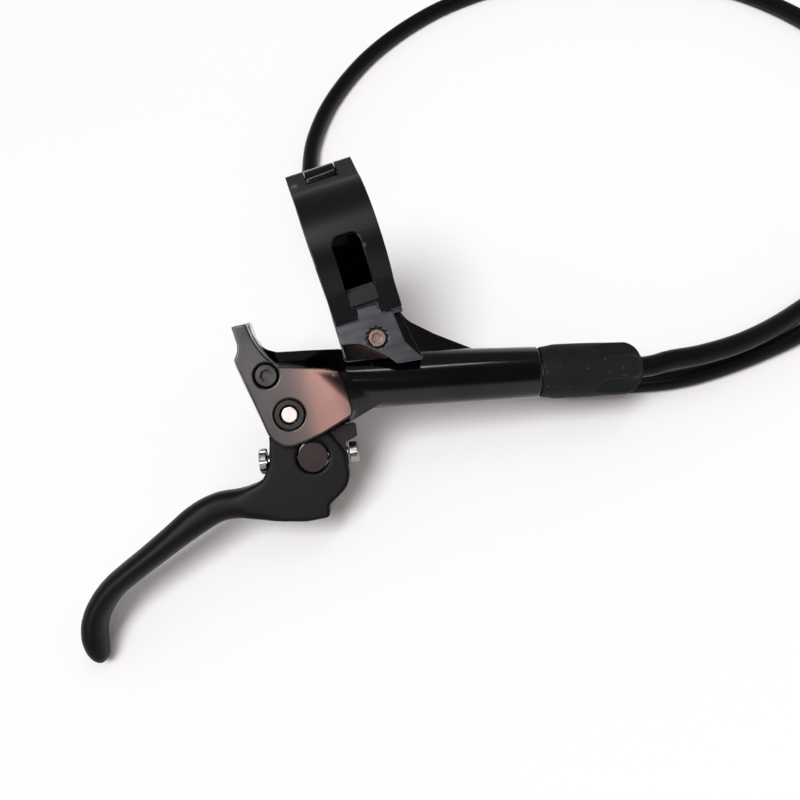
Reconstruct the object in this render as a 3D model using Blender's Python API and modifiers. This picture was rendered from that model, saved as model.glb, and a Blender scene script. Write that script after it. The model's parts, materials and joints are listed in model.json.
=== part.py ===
"""Hydraulic disc brake lever: master cylinder, hinged bar clamp, two-finger blade and hose.

The origin is the centre of the bar clamp and the handlebar lies along X. The clamp's own
frame has u along the bar, v across it towards the hinge and w out of the clamp's front.
The lever's frame is the same one turned a little about w, so the cylinder leans away from
the bar. The clamp's frame slopes down towards the front, as a lever does on its bar.
"""
import math

import bmesh
import bpy
from mathutils import Matrix, Vector

MM = 0.001
GAP = 0.3 * MM
WELD_DISTANCE = 0.004 * MM

# How the assembly lies
CLAMP_SLOPE = math.radians(35)
LEVER_TURN = math.radians(-3)
MID_W = -5.0 * MM

# Bar clamp: fixed half on the body, hinged half in front
BAR_RADIUS = 11.1 * MM
CLAMP_WALL = 3.2 * MM
CLAMP_WIDTH = 15.6 * MM
CLAMP_SPLIT = 0.15 * MM
HINGE_V = 15.3 * MM
KNUCKLE_RADIUS = 2.8 * MM
KNUCKLE_WIDTH = 7.0 * MM
HINGE_PIN_RADIUS = 1.5 * MM
WINDOW_WIDTH = 6.7 * MM
WINDOW_TOP = -0.7 * MM
WINDOW_BOTTOM = -12.0 * MM
STEP_BOTTOM = -15.2 * MM
FLANGE_END_V = -18.4 * MM
FLANGE_HEIGHT = 5.2 * MM
PLATE_TOP = 4.0 * MM

# Clamp bolt, in its toothed counterbore
BOLT_U = 1.5 * MM
BOLT_V = -23.5 * MM
BOLT_RADIUS = 1.7 * MM
BOLT_HOLE_CLEARANCE = 0.45 * MM
BOLT_DEPTH = 6.0 * MM
BOLT_HEAD_RADIUS = 2.2 * MM
BOLT_HEAD_HEIGHT = 1.6 * MM
BOLT_SEAT_W = 1.6 * MM
BOLT_SOCKET_RADIUS = 1.25 * MM
TOOTH_COUNT = 12
TOOTH_DEPTH = 0.3 * MM

# Yoke: two cheeks with the lever's pocket between them
YOKE_HALF = 7.5 * MM
YOKE_EDGE_HALF = 4.0 * MM
POCKET_HALF = 4.4 * MM
PIVOT_U = -22.4 * MM
PIVOT_V = -34.9 * MM
AXLE_RADIUS = 1.95 * MM
BUSH_RADIUS = 3.35 * MM
CLIP_RADIUS = 3.2 * MM
CLIP_THICKNESS = 0.6 * MM
BLEED_U = -25.1 * MM
BLEED_V = -24.9 * MM
BLEED_RADIUS = 2.7 * MM
BLEED_DEPTH = 4.4 * MM
BLEED_SOCKET_RADIUS = 1.4 * MM

# Cylinder, measured along its axis from the foot of the perpendicular from the pivot
CYLINDER_TILT = math.radians(-13)
CYLINDER_ARM = 7.18 * MM
TUBE_START = 12.0 * MM
TUBE_END = 58.9 * MM
TUBE_RADIUS = 6.75 * MM
TUBE_END_RADIUS = 6.15 * MM
BORE_RADIUS = 4.75 * MM
BORE_START = 5.0 * MM
BORE_END = 46.0 * MM
PORT_RADIUS = 1.2 * MM
NUT_SEAT = 50.0 * MM
MOUTH = 8.6 * MM

# Foot and gusset that carry the clamp
FOOT_TOP = -0.15 * MM
FOOT_BOTTOM = -9.5 * MM
GUSSET_TOP = -6.5 * MM

# Piston group
NOSE_LEAD = 3.0 * MM
NOSE_RADIUS = 2.0 * MM
ROD_RADIUS = 1.6 * MM
ROD_HEAD_RADIUS = 3.0 * MM
ROD_HEAD_THICKNESS = 1.5 * MM
ROD_END = 14.7 * MM
CIRCLIP_START = 9.6 * MM
CIRCLIP_THICKNESS = 0.9 * MM
CIRCLIP_INNER = 3.4 * MM
CIRCLIP_BITE = 0.35 * MM
PISTON_START = 11.0 * MM
PISTON_LENGTH = 20.0 * MM
PISTON_RADIUS = 4.45 * MM
WAIST_RADIUS = 2.8 * MM
SECONDARY_CUP_START = 17.0 * MM
PRIMARY_CUP_START = 27.0 * MM
CUP_LENGTH = 2.0 * MM
SPRING_RADIUS = 3.2 * MM
SPRING_WIRE = 0.4 * MM
SPRING_TURNS = 6

# Lever: carrier, blade and reach adjuster
CARRIER_HALF = 2.1 * MM
SLOT_HALF = 2.4 * MM
BLADE_HALF = 4.1 * MM
CHEEK_RADIUS = 5.6 * MM
BARREL_U = -20.1 * MM
BARREL_V = -45.8 * MM
BARREL_RADIUS = 3.45 * MM
BARREL_TRAVEL = 0.85 * MM
SCREW_TILT = math.radians(-9.8)
SCREW_RADIUS = 1.4 * MM
SCREW_SIDE_ROOM = 0.75 * MM
KNOB_RADIUS = 3.0 * MM
KNOB_START = 10.7 * MM
KNOB_LENGTH = 1.9 * MM
KNOB_FLUTES = 8
KNOB_ROOM = 0.7 * MM
COLLAR_RADIUS = 2.5 * MM
COLLAR_START = 8.6 * MM
COLLAR_LENGTH = 2.1 * MM

# Hose and what holds its ends
HOSE_RADIUS = 2.5 * MM
HOSE_START = 52.5 * MM
NUT_RADIUS = 3.9 * MM
NUT_START = 55.9 * MM
NUT_HEAD_RADIUS = 4.6 * MM
NUT_HEAD_LENGTH = 4.0 * MM
BOOT_LENGTH = 24.4 * MM
BOOT_RADIUS = 6.4 * MM
BOOT_END_RADIUS = 5.2 * MM
FERRULE_RADIUS = 3.2 * MM
FERRULE_LENGTH = 13.0 * MM
BANJO_RADIUS = 6.2 * MM
BANJO_BORE = 3.1 * MM
BANJO_THICKNESS = 6.0 * MM

# The hose's route in world millimetres, from the boot round its loop to the far end
HOSE_REST_Z = -46.5
HOSE_END_Z = -45.7
HOSE_ROUTE = [
    (66.5, -38.2, -33.9), (75.5, -38.4, -36.0), (88.0, -37.2, -38.5), (102.5, -33.5, -41.0),
    (122.0, -25.8, -43.9), (143.0, -12.8, -46.0), (159.5, 3.0, HOSE_REST_Z), (171.0, 24.5, HOSE_REST_Z),
    (176.7, 47.5, HOSE_REST_Z), (175.8, 70.5, HOSE_REST_Z), (168.6, 92.6, HOSE_REST_Z),
    (156.2, 112.2, HOSE_REST_Z), (139.2, 128.6, HOSE_REST_Z), (118.6, 139.8, HOSE_REST_Z),
    (95.8, 145.4, HOSE_REST_Z), (72.5, 144.8, HOSE_REST_Z), (52.5, 138.7, HOSE_REST_Z),
    (34.1, 128.1, HOSE_REST_Z), (18.4, 113.3, HOSE_REST_Z), (8.0, 98.1, HOSE_REST_Z),
    (2.2, 83.7, HOSE_REST_Z), (-2.6, 62.0, HOSE_REST_Z), (-2.0, 38.0, HOSE_REST_Z),
    (5.5, 14.0, HOSE_REST_Z), (19.5, -7.0, HOSE_REST_Z), (39.0, -23.8, HOSE_REST_Z),
    (58.6, -33.2, HOSE_REST_Z), (76.8, -37.4, HOSE_REST_Z), (103.0, -36.2, HOSE_REST_Z),
    (127.0, -30.5, HOSE_REST_Z), (149.0, -18.0, HOSE_REST_Z), (166.5, 1.0, HOSE_REST_Z),
    (179.5, 23.0, HOSE_REST_Z), (189.0, 48.0, HOSE_REST_Z), (196.5, 76.0, HOSE_REST_Z),
    (201.0, 104.0, -46.1), (203.0, 128.0, HOSE_END_Z)]
HOSE_SPACING = 12.0 * MM

ROUND = 40
SMALL_ROUND = 24

FINISHES = {
    "gloss_black": ((0.012, 0.012, 0.014), 0.18, 0.3),
    "satin_black": ((0.03, 0.031, 0.033), 0.4, 0.3),
    "graphite": ((0.05, 0.05, 0.052), 0.35, 0.8),
    "rubber": ((0.035, 0.036, 0.037), 0.8, 0.0),
    "hose_black": ((0.012, 0.012, 0.013), 0.35, 0.0),
    "steel": ((0.62, 0.61, 0.58), 0.3, 1.0),
}

# The yoke's outline at the cheeks' outer edge (u, v) and at their flat face (u, v), in millimetres
YOKE_OUTLINE = [
    (-29.9, -11.6, -29.6, -12.2), (-29.8, -16.3, -29.4, -16.3), (-30.3, -17.9, -29.8, -17.9),
    (-31.5, -19.4, -30.9, -19.7), (-31.4, -21.0, -30.8, -21.0), (-30.7, -25.5, -30.1, -25.5),
    (-29.2, -34.6, -28.7, -34.5), (-28.7, -38.2, -28.2, -37.9), (-27.6, -40.4, -27.2, -39.9),
    (-25.9, -42.1, -25.7, -41.5), (-23.8, -42.7, -23.7, -42.1), (-20.5, -42.4, -20.4, -41.8),
    (-16.4, -41.7, -16.3, -41.1), (-10.3, -40.5, -8.6, -38.9), (-6.3, -39.4, -8.3, -38.0),
    (-2.2, -38.3, -8.3, -36.5), (6.0, -37.6, -8.3, -35.0), (9.5, -35.0, -8.4, -33.0),
    (8.0, -31.0, -8.5, -31.0), (3.0, -28.3, -8.6, -29.5), (-2.0, -25.6, -9.3, -28.1),
    (-7.7, -23.3, -12.2, -26.8), (-14.5, -21.7, -17.0, -25.3), (-21.5, -20.2, -21.5, -23.9),
    (-23.4, -19.1, -23.2, -22.3), (-24.8, -17.6, -24.7, -19.8), (-25.7, -14.7, -25.9, -16.0),
    (-25.9, -11.6, -26.4, -12.5)]
# Share of the way from edge outline to face outline, against share of the height between them
YOKE_FLANK = [(0.0, 0.0), (0.36, 0.2), (0.7, 0.5), (0.93, 0.84), (1.0, 1.0)]

PLATE_OUTLINE = [(-6.6, -18.8, 0.4), (-2.1, -18.4, 0.5), (-1.2, -17.4, 0.5), (-1.5, -16.1, 0.3),
                 (3.3, -16.0, 0.5), (3.6, -17.3, 0.5), (4.8, -18.2, 0.5), (6.4, -18.5, 0.4),
                 (7.3, -25.9, 1.5), (10.4, -30.9, 0.3), (4.4, -30.3, 1.0), (2.0, -27.4, 4.0),
                 (-2.6, -23.6, 5.0), (-7.0, -22.8, 0.3), (-6.5, -21.6, 0.4)]
FOOT_OUTLINE = [(-7.2, -10.0, 0), (8.0, -10.0, 0), (8.4, -19.0, 0), (10.6, -30.3, 0), (11.0, -34.0, 0),
                (-6.8, -30.0, 0), (-7.1, -18.0, 0)]
GUSSET_OUTLINE = [(4.0, -15.0, 0), (7.9, -16.0, 0), (10.1, -20.9, 6.0), (15.4, -25.6, 8.0),
                  (24.0, -32.0, 0), (22.0, -36.0, 0), (4.0, -32.0, 0)]
POCKET_OUTLINE = [(-36.0, -29.0, 0), (-21.5, -29.0, 0.8), (-21.5, -25.6, 0.8), (-11.4, -25.6, 0),
                  (-13.7, -35.3, 1.0), (-8.5, -42.5, 0), (-8.5, -47.0, 0), (-36.0, -47.0, 0)]
CARRIER_OUTLINE = [(-26.9, -33.2, 2.5), (-24.6, -30.5, 2.5), (-20.7, -30.0, 0.8), (-19.9, -26.9, 1.8), (-15.9, -26.7, 1.9),
                   (-15.9, -30.4, 1.9), (-17.8, -34.4, 2.5), (-16.4, -39.0, 1.5), (-13.4, -40.3, 0.6),
                   (-8.4, -40.8, 0.6), (-8.9, -43.9, 0.7), (-12.0, -44.7, 0.6), (-12.5, -50.1, 0.6),
                   (-16.4, -49.5, 0.4), (-25.2, -47.9, 0.4), (-30.6, -47.2, 0.5), (-29.9, -42.6, 1.0),
                   (-28.2, -38.8, 3.0)]
HEAD_OUTLINE = [(-27.6, -33.2, 0), (-28.9, -40.0, 8.0), (-30.4, -45.1, 3.0), (-33.1, -48.0, 2.0),
                (-38.0, -48.6, 0), (-39.5, -55.2, 0), (-32.2, -57.9, 8.0), (-25.3, -59.9, 8.0),
                (-20.0, -60.3, 0.8), (-19.4, -57.6, 0.6), (-12.9, -54.0, 7.0), (-12.6, -46.5, 6.0),
                (-15.3, -40.4, 4.0), (-17.2, -33.2, 0)]
SLOT_OUTLINE = [(-44.0, -27.0, 0), (-44.0, -47.2, 0), (-33.6, -48.6, 0.8), (-30.0, -50.4, 2.0),
                (-20.0, -52.6, 4.0), (-8.0, -53.6, 0), (-8.0, -27.0, 0)]
# Finger part, neck to tip: u, v, half width, half height along the pivots, squareness of the section
BLADE_STATIONS = [(-31.5, -53.2, 4.4, 3.8, 5.0), (-35.5, -52.5, 3.9, 3.9, 4.5), (-39.6, -51.7, 3.45, 4.05, 4.0),
                  (-44.4, -51.2, 3.5, 4.3, 3.2), (-50.0, -52.5, 3.6, 4.75, 2.7), (-56.7, -55.3, 3.2, 5.1, 2.4),
                  (-63.2, -58.1, 2.95, 5.2, 2.3), (-68.4, -60.3, 2.88, 5.2, 2.3), (-72.6, -62.3, 2.85, 5.2, 2.3),
                  (-76.1, -65.0, 2.85, 5.2, 2.3), (-78.5, -67.9, 2.86, 5.2, 2.3), (-79.8, -70.9, 2.8, 5.15, 2.3),
                  (-80.2, -73.6, 2.65, 4.9, 2.2), (-80.1, -76.0, 2.2, 4.2, 2.1), (-79.8, -77.6, 1.5, 3.1, 2.0),
                  (-79.6, -78.5, 0.5, 1.5, 2.0)]


def clear_scene():
    for obj in list(bpy.data.objects):
        bpy.data.objects.remove(obj)


def new_collection(name):
    made = bpy.data.collections.new(name)
    bpy.context.scene.collection.children.link(made)
    return made


def material(name, colour, roughness, metallic):
    made = bpy.data.materials.new(name)
    made.use_nodes = True
    shader = made.node_tree.nodes["Principled BSDF"]
    shader.inputs["Base Color"].default_value = (*colour, 1)
    shader.inputs["Roughness"].default_value = roughness
    shader.inputs["Metallic"].default_value = metallic
    return made


def angles(start, end, count):
    return [start + (end - start) * k / count for k in range(count + 1)]


def at(u, v, w=0.0):
    return Matrix.Translation((u, v, w))


def along_bar(v=0.0):
    """A frame whose Z runs along the bar, at height v of the clamp's frame."""
    return at(0, v) @ Matrix.Rotation(math.pi / 2, 4, "Y")


def in_plane(u, v, angle):
    """A frame in the lever's middle plane whose Z runs along the plane at that angle."""
    return at(u, v, MID_W) @ Matrix.Rotation(angle, 4, "Z") @ Matrix.Rotation(math.pi / 2, 4, "Y")


def cylinder_frame():
    u = PIVOT_U - CYLINDER_ARM * math.sin(CYLINDER_TILT)
    v = PIVOT_V + CYLINDER_ARM * math.cos(CYLINDER_TILT)
    return in_plane(u, v, CYLINDER_TILT)


def screw_frame():
    return in_plane(BARREL_U, BARREL_V, SCREW_TILT)


def circle(u, v, radius, start=0.0, end=math.tau, count=ROUND):
    """Points on a circle; the last is left out where it would repeat the first."""
    turns = angles(start, end, count)
    if abs(end - start - math.tau) < 1e-9:
        turns = turns[:-1]
    return [Vector((u + radius * math.cos(a), v + radius * math.sin(a))) for a in turns]


def filleted(corners, steps=4):
    """An outline in metres through corners (u, v, radius) in millimetres, with arcs at the corners."""
    outline = []
    for i, (u, v, radius) in enumerate(corners):
        corner = Vector((u, v)) * MM
        before = Vector(corners[i - 1][:2]) * MM - corner
        after = Vector(corners[(i + 1) % len(corners)][:2]) * MM - corner
        if not radius:
            outline.append(corner)
            continue
        half = before.angle(after) / 2
        reach = min(radius * MM / math.tan(half), 0.45 * before.length, 0.45 * after.length)
        start = corner + before.normalized() * reach
        end = corner + after.normalized() * reach
        centre = corner + (before.normalized() + after.normalized()).normalized() * (reach / math.cos(half))
        first = math.atan2(start.y - centre.y, start.x - centre.x)
        sweep = math.remainder(math.atan2(end.y - centre.y, end.x - centre.x) - first, math.tau)
        outline += circle(centre.x, centre.y, (start - centre).length, first, first + sweep, steps)
    return outline


def mesh_of_curve(name, curve):
    """The curve's evaluated mesh with its loose caps welded; the curve itself goes."""
    holder = bpy.data.objects.new(name, curve)
    bpy.context.scene.collection.objects.link(holder)
    bpy.context.view_layer.update()
    graph = bpy.context.evaluated_depsgraph_get()
    mesh = bpy.data.meshes.new_from_object(holder.evaluated_get(graph))
    form = bmesh.new()
    form.from_mesh(mesh)
    bmesh.ops.remove_doubles(form, verts=form.verts, dist=1e-6)
    bmesh.ops.recalc_face_normals(form, faces=form.faces)
    form.to_mesh(mesh)
    form.free()
    bpy.data.objects.remove(holder)
    bpy.data.curves.remove(curve)
    return mesh


def prism_mesh(name, outline, low, high):
    """A flat outline made solid between two heights."""
    curve = bpy.data.curves.new(name, "CURVE")
    curve.dimensions = "2D"
    curve.fill_mode = "BOTH"
    curve.extrude = (high - low) / 2
    spline = curve.splines.new("POLY")
    spline.points.add(len(outline) - 1)
    for point, place in zip(spline.points, outline):
        point.co = (place[0], place[1], 0, 1)
    spline.use_cyclic_u = True
    mesh = mesh_of_curve(name, curve)
    mesh.transform(at(0, 0, (low + high) / 2))
    return mesh


def lofted_mesh(name, rings):
    """Faces carried between rings of equally many points, closed at both ends."""
    form = bmesh.new()
    verts = [[form.verts.new(place) for place in ring] for ring in rings]
    for first, second in zip(verts, verts[1:]):
        for k in range(len(first)):
            after = (k + 1) % len(first)
            form.faces.new((first[k], first[after], second[after], second[k]))
    form.faces.new(verts[0])
    form.faces.new(verts[-1])
    bmesh.ops.recalc_face_normals(form, faces=form.faces)
    mesh = bpy.data.meshes.new(name)
    form.to_mesh(mesh)
    form.free()
    return mesh


class Builder:
    """Makes pieces and cutters in the clamp's or the lever's frame."""

    def __init__(self):
        self.parts = new_collection("hydraulic_disc_brake_lever")
        self.cutters = new_collection("cutters")
        self.finishes = {name: material(name, *look) for name, look in FINISHES.items()}
        self.clamp = self.frame("clamp_frame")
        self.clamp.rotation_euler = (CLAMP_SLOPE, 0, 0)
        self.lever = self.frame("lever_frame")
        self.lever.parent = self.clamp
        self.lever.rotation_euler = (0, 0, LEVER_TURN)

    def frame(self, name):
        empty = bpy.data.objects.new(name, None)
        self.parts.objects.link(empty)
        return empty

    def add(self, name, mesh, place, parent, finish=None):
        """A piece with a finish is part of the model; one without is a form to cut or join with."""
        obj = bpy.data.objects.new(name, mesh)
        obj.parent = parent
        obj.matrix_local = place
        if finish:
            self.parts.objects.link(obj)
            mesh.materials.clear()
            mesh.materials.append(self.finishes[finish])
        else:
            self.cutters.objects.link(obj)
            obj.hide_render = True
            obj.display_type = "WIRE"
        return obj

    def prism(self, name, outline, low, high, finish=None, parent=None, place=None):
        mesh = prism_mesh(name, outline, low, high)
        return self.add(name, mesh, place or Matrix(), parent or self.lever, finish)

    def turned(self, name, profile, place, finish=None, parent=None, steps=SMALL_ROUND):
        """A turned piece: profile lists (radius, height), down its outer side."""
        mesh = bpy.data.meshes.new(name)
        form = bmesh.new()
        verts = [form.verts.new((radius, 0, height)) for radius, height in profile]
        hollow = profile[0][0] > 0 and profile[-1][0] > 0
        for a, b in zip(verts, verts[1:] + (verts[:1] if hollow else [])):
            form.edges.new((a, b))
        form.to_mesh(mesh)
        form.free()
        obj = self.add(name, mesh, place, parent or self.lever, finish)
        screw = obj.modifiers.new("turn", "SCREW")
        screw.steps = steps
        screw.render_steps = steps
        screw.use_merge_vertices = True
        screw.merge_threshold = 1e-6
        return obj

    def peg(self, name, radius, low, high, place, finish=None, parent=None, steps=SMALL_ROUND):
        profile = [(0, high), (radius, high), (radius, low), (0, low)]
        return self.turned(name, profile, place, finish, parent, steps)

    def ring(self, name, inner, outer, low, high, place, finish=None, parent=None, steps=SMALL_ROUND):
        profile = [(outer, high), (outer, low), (inner, low), (inner, high)]
        return self.turned(name, profile, place, finish, parent, steps)

    def block(self, name, low, high, parent):
        """A box cutter between two corners of a frame."""
        mesh = bpy.data.meshes.new(name)
        form = bmesh.new()
        bmesh.ops.create_cube(form, size=1)
        size = [b - a for a, b in zip(low, high)]
        middle = [(a + b) / 2 for a, b in zip(low, high)]
        form.transform(Matrix.Translation(middle) @ Matrix.Diagonal((*size, 1)))
        form.to_mesh(mesh)
        form.free()
        return self.add(name, mesh, Matrix(), parent)

    def cut(self, obj, form):
        self.combine(obj, form, "DIFFERENCE")

    def join(self, obj, form):
        self.combine(obj, form, "UNION")

    def combine(self, obj, form, operation):
        step = obj.modifiers.new(form.name, "BOOLEAN")
        step.object = form
        step.operation = operation
        step.solver = "EXACT"
        weld = obj.modifiers.new("close_" + form.name, "WELD")
        weld.merge_threshold = WELD_DISTANCE


def move_origin(obj, place):
    """Puts an object's origin at a place of its frame and leaves its shape where it is."""
    obj.data.transform(place.inverted() @ obj.matrix_local)
    obj.matrix_local = place


def arc_vw(radius, start, end, count=22):
    """Points (v, w) on a circle round the bar; the angle runs from +v towards +w."""
    return [(radius * math.cos(a), radius * math.sin(a)) for a in angles(start, end, count)]


def bar_prism(b, name, section, finish=None):
    """A section (v, w) carried across the clamp's width."""
    stand = Matrix(((0, 0, 1, 0), (1, 0, 0, 0), (0, 1, 0, 0), (0, 0, 0, 1)))
    mesh = prism_mesh(name, section, -CLAMP_WIDTH / 2, CLAMP_WIDTH / 2)
    mesh.transform(stand)
    return b.add(name, mesh, Matrix(), b.clamp, finish)


def half_ring_inner():
    lift = math.asin(CLAMP_SPLIT / BAR_RADIUS)
    return arc_vw(BAR_RADIUS, math.pi - lift, lift)


def fixed_half_section():
    """The rear half ring, mirrored to -w, with the slope up to its knuckle."""
    outer = BAR_RADIUS + CLAMP_WALL
    section = [(HINGE_V + 1.7 * MM, CLAMP_SPLIT), (HINGE_V + 1.6 * MM, 0.84 * KNUCKLE_RADIUS)]
    section += arc_vw(outer, math.radians(30), math.pi - math.asin(CLAMP_SPLIT / outer))
    return [(v, -w) for v, w in section + half_ring_inner()]


def band_section():
    """The front half ring with the slope up to its knuckles and the flange at its foot."""
    section = [(HINGE_V + 1.7 * MM, CLAMP_SPLIT), (HINGE_V + 1.6 * MM, 0.84 * KNUCKLE_RADIUS)]
    section += arc_vw(BAR_RADIUS + CLAMP_WALL, math.radians(30), math.radians(150))
    tongue = PLATE_TOP - 0.6 * MM
    section += [(FLANGE_END_V, FLANGE_HEIGHT), (FLANGE_END_V, tongue), (FLANGE_END_V - MM, tongue),
                (FLANGE_END_V - MM, CLAMP_SPLIT)]
    return section + half_ring_inner()


def outer_knuckle_span(side, extra=0.0):
    """Where an outer knuckle lies along the bar, on one side, with extra room at both ends."""
    inner = KNUCKLE_WIDTH / 2 + GAP - extra
    outer = CLAMP_WIDTH / 2 + extra
    return sorted((side * inner, side * outer))


def yoke_rings():
    """The yoke's outline at each height, from its lower face to its upper one."""
    rings = []
    half_levels = [(inset, YOKE_EDGE_HALF + (YOKE_HALF - YOKE_EDGE_HALF) * rise) for inset, rise in YOKE_FLANK]
    levels = [(inset, -height) for inset, height in reversed(half_levels)] + half_levels
    for inset, height in levels:
        rings.append([Vector((edge_u + (face_u - edge_u) * inset, edge_v + (face_v - edge_v) * inset, 0)) * MM
                      + Vector((0, 0, MID_W + height)) for edge_u, edge_v, face_u, face_v in YOKE_OUTLINE])
    return rings


def build_body(b):
    """The cast body: yoke, cylinder, foot, gusset and the fixed clamp half."""
    body = b.add("master_cylinder_body", lofted_mesh("master_cylinder_body", yoke_rings()), Matrix(), b.lever,
                 "gloss_black")
    tube = b.turned("tube_form", [(0, TUBE_END), (TUBE_END_RADIUS - 0.4 * MM, TUBE_END),
                                  (TUBE_END_RADIUS, TUBE_END - 0.4 * MM), (TUBE_RADIUS, TUBE_START + 13 * MM),
                                  (TUBE_RADIUS, TUBE_START), (0, TUBE_START)], cylinder_frame(), steps=ROUND)
    foot = b.prism("foot_form", filleted(FOOT_OUTLINE), FOOT_BOTTOM, FOOT_TOP)
    gusset = b.prism("gusset_form", filleted(GUSSET_OUTLINE), FOOT_BOTTOM + GAP, GUSSET_TOP)
    half = bar_prism(b, "fixed_half_form", fixed_half_section())
    knuckle = b.peg("body_knuckle_form", KNUCKLE_RADIUS, -KNUCKLE_WIDTH / 2, KNUCKLE_WIDTH / 2,
                    along_bar(HINGE_V), parent=b.clamp)
    cut_hinge_room(b, half)
    for form in (tube, foot, gusset, half, knuckle):
        b.join(body, form)
    long = 2 * CLAMP_WIDTH
    b.cut(body, b.peg("bar_space", BAR_RADIUS, -long, long, along_bar(), parent=b.clamp, steps=44))
    b.cut(body, b.peg("pin_space", HINGE_PIN_RADIUS + GAP, -long, long, along_bar(HINGE_V), parent=b.clamp))
    cut_yoke(b, body)
    cut_bore(b, body)
    b.cut(body, b.peg("bolt_space", BOLT_RADIUS + BOLT_HOLE_CLEARANCE, -BOLT_DEPTH - MM, MM, at(BOLT_U, BOLT_V)))


def cut_hinge_room(b, half):
    """Room in the fixed half for the band's outer knuckles."""
    for side, name in ((-1, "left_knuckle_space"), (1, "right_knuckle_space")):
        low, high = outer_knuckle_span(side, 0.7 * GAP)
        b.cut(half, b.peg(name, KNUCKLE_RADIUS + GAP, low, high, along_bar(HINGE_V), parent=b.clamp))
        corners = [(low, HINGE_V, -KNUCKLE_RADIUS - GAP), (high, HINGE_V + 2 * KNUCKLE_RADIUS, 0)]
        b.cut(half, b.block(name + "_top", *corners, b.clamp))


def cut_yoke(b, body):
    """The lever's pocket, the axle's bush seats and the bleed hole."""
    b.cut(body, b.prism("pocket_space", filleted(POCKET_OUTLINE), MID_W - POCKET_HALF, MID_W + POCKET_HALF))
    b.cut(body, b.peg("bush_space", BUSH_RADIUS + GAP, MID_W - 2 * YOKE_HALF, MID_W + 2 * YOKE_HALF,
                      at(PIVOT_U, PIVOT_V), steps=32))
    top = MID_W + YOKE_HALF
    b.cut(body, b.peg("bleed_space", BLEED_RADIUS + GAP, top - BLEED_DEPTH - GAP, top + MM, at(BLEED_U, BLEED_V),
                      steps=32))


def cut_bore(b, body):
    """The stepped bore: piston room, port and hose socket, and the circlip's groove."""
    socket = NUT_RADIUS + GAP
    far = TUBE_END + MM
    profile = [(0, far), (socket, far), (socket, NUT_SEAT), (PORT_RADIUS, NUT_SEAT), (PORT_RADIUS, BORE_END),
               (BORE_RADIUS, BORE_END), (BORE_RADIUS, BORE_START), (0, BORE_START)]
    b.cut(body, b.turned("bore_space", profile, cylinder_frame(), steps=32))
    groove_outer = BORE_RADIUS + CIRCLIP_BITE + 0.2 * MM
    b.cut(body, b.ring("groove_space", BORE_RADIUS - MM, groove_outer, CIRCLIP_START - GAP,
                       CIRCLIP_START + CIRCLIP_THICKNESS + GAP, cylinder_frame(), steps=32))


def build_band(b):
    """The hinged front half of the clamp with its knuckles, window and machined flange."""
    band = bar_prism(b, "clamp_band", band_section(), "satin_black")
    notch = KNUCKLE_WIDTH / 2 + GAP
    b.cut(band, b.block("knuckle_notch", (-notch, HINGE_V - 1.7 * MM, -MM), (notch, HINGE_V + 6 * MM, 9 * MM), b.clamp))
    b.cut(band, b.peg("knuckle_relief", KNUCKLE_RADIUS + GAP, -notch, notch, along_bar(HINGE_V), parent=b.clamp))
    for side, name in ((-1, "left_knuckle_form"), (1, "right_knuckle_form")):
        low, high = outer_knuckle_span(side)
        b.join(band, b.peg(name, KNUCKLE_RADIUS, low, high, along_bar(HINGE_V), parent=b.clamp))
    half = WINDOW_WIDTH / 2
    window = [(-half, WINDOW_TOP, 1.9), (half, WINDOW_TOP, 1.9), (half, WINDOW_BOTTOM, 0.6), (-half, WINDOW_BOTTOM, 0.6)]
    corners = [(u / MM, v / MM, radius) for u, v, radius in window]
    b.cut(band, b.prism("window_space", filleted(corners), 2 * MM, 20 * MM, parent=b.clamp))
    b.cut(band, b.block("step_space", (-half, STEP_BOTTOM, FLANGE_HEIGHT + 0.4 * MM), (half, WINDOW_BOTTOM + 0.2 * MM, 20 * MM),
                        b.clamp))
    b.cut(band, b.block("neck_space", (-2.6 * MM, FLANGE_END_V - 2 * MM, PLATE_TOP - 0.5 * MM),
                        (2.9 * MM, STEP_BOTTOM - 0.3 * MM, 20 * MM), b.clamp))
    b.join(band, b.prism("plate_form", filleted(PLATE_OUTLINE, 3), CLAMP_SPLIT + 0.1 * MM, PLATE_TOP))
    b.cut(band, b.peg("tube_clearance", TUBE_RADIUS + GAP, 0, TUBE_END, cylinder_frame(), steps=ROUND))
    b.cut(band, b.prism("toothed_space", toothed_outline(), BOLT_SEAT_W, PLATE_TOP + MM))
    b.cut(band, b.peg("band_bolt_space", BOLT_RADIUS + GAP + 0.1 * MM, -MM, BOLT_SEAT_W + MM, at(BOLT_U, BOLT_V)))
    b.cut(band, b.peg("band_pin_space", HINGE_PIN_RADIUS + GAP, -2 * CLAMP_WIDTH, 2 * CLAMP_WIDTH, along_bar(HINGE_V),
                      parent=b.clamp))
    move_origin(band, at(0, HINGE_V))


def toothed_outline():
    """The counterbore's outline: notches evenly round a circle that clears the bolt's head."""
    radius = BOLT_HEAD_RADIUS + GAP
    outline = []
    for tooth in range(TOOTH_COUNT):
        for share, depth in ((0.0, 0), (0.42, 0), (0.55, TOOTH_DEPTH), (0.87, TOOTH_DEPTH)):
            outline += circle(BOLT_U, BOLT_V, radius + depth, math.tau * (tooth + share) / TOOTH_COUNT, 0, 1)[:1]
    return outline


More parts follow.
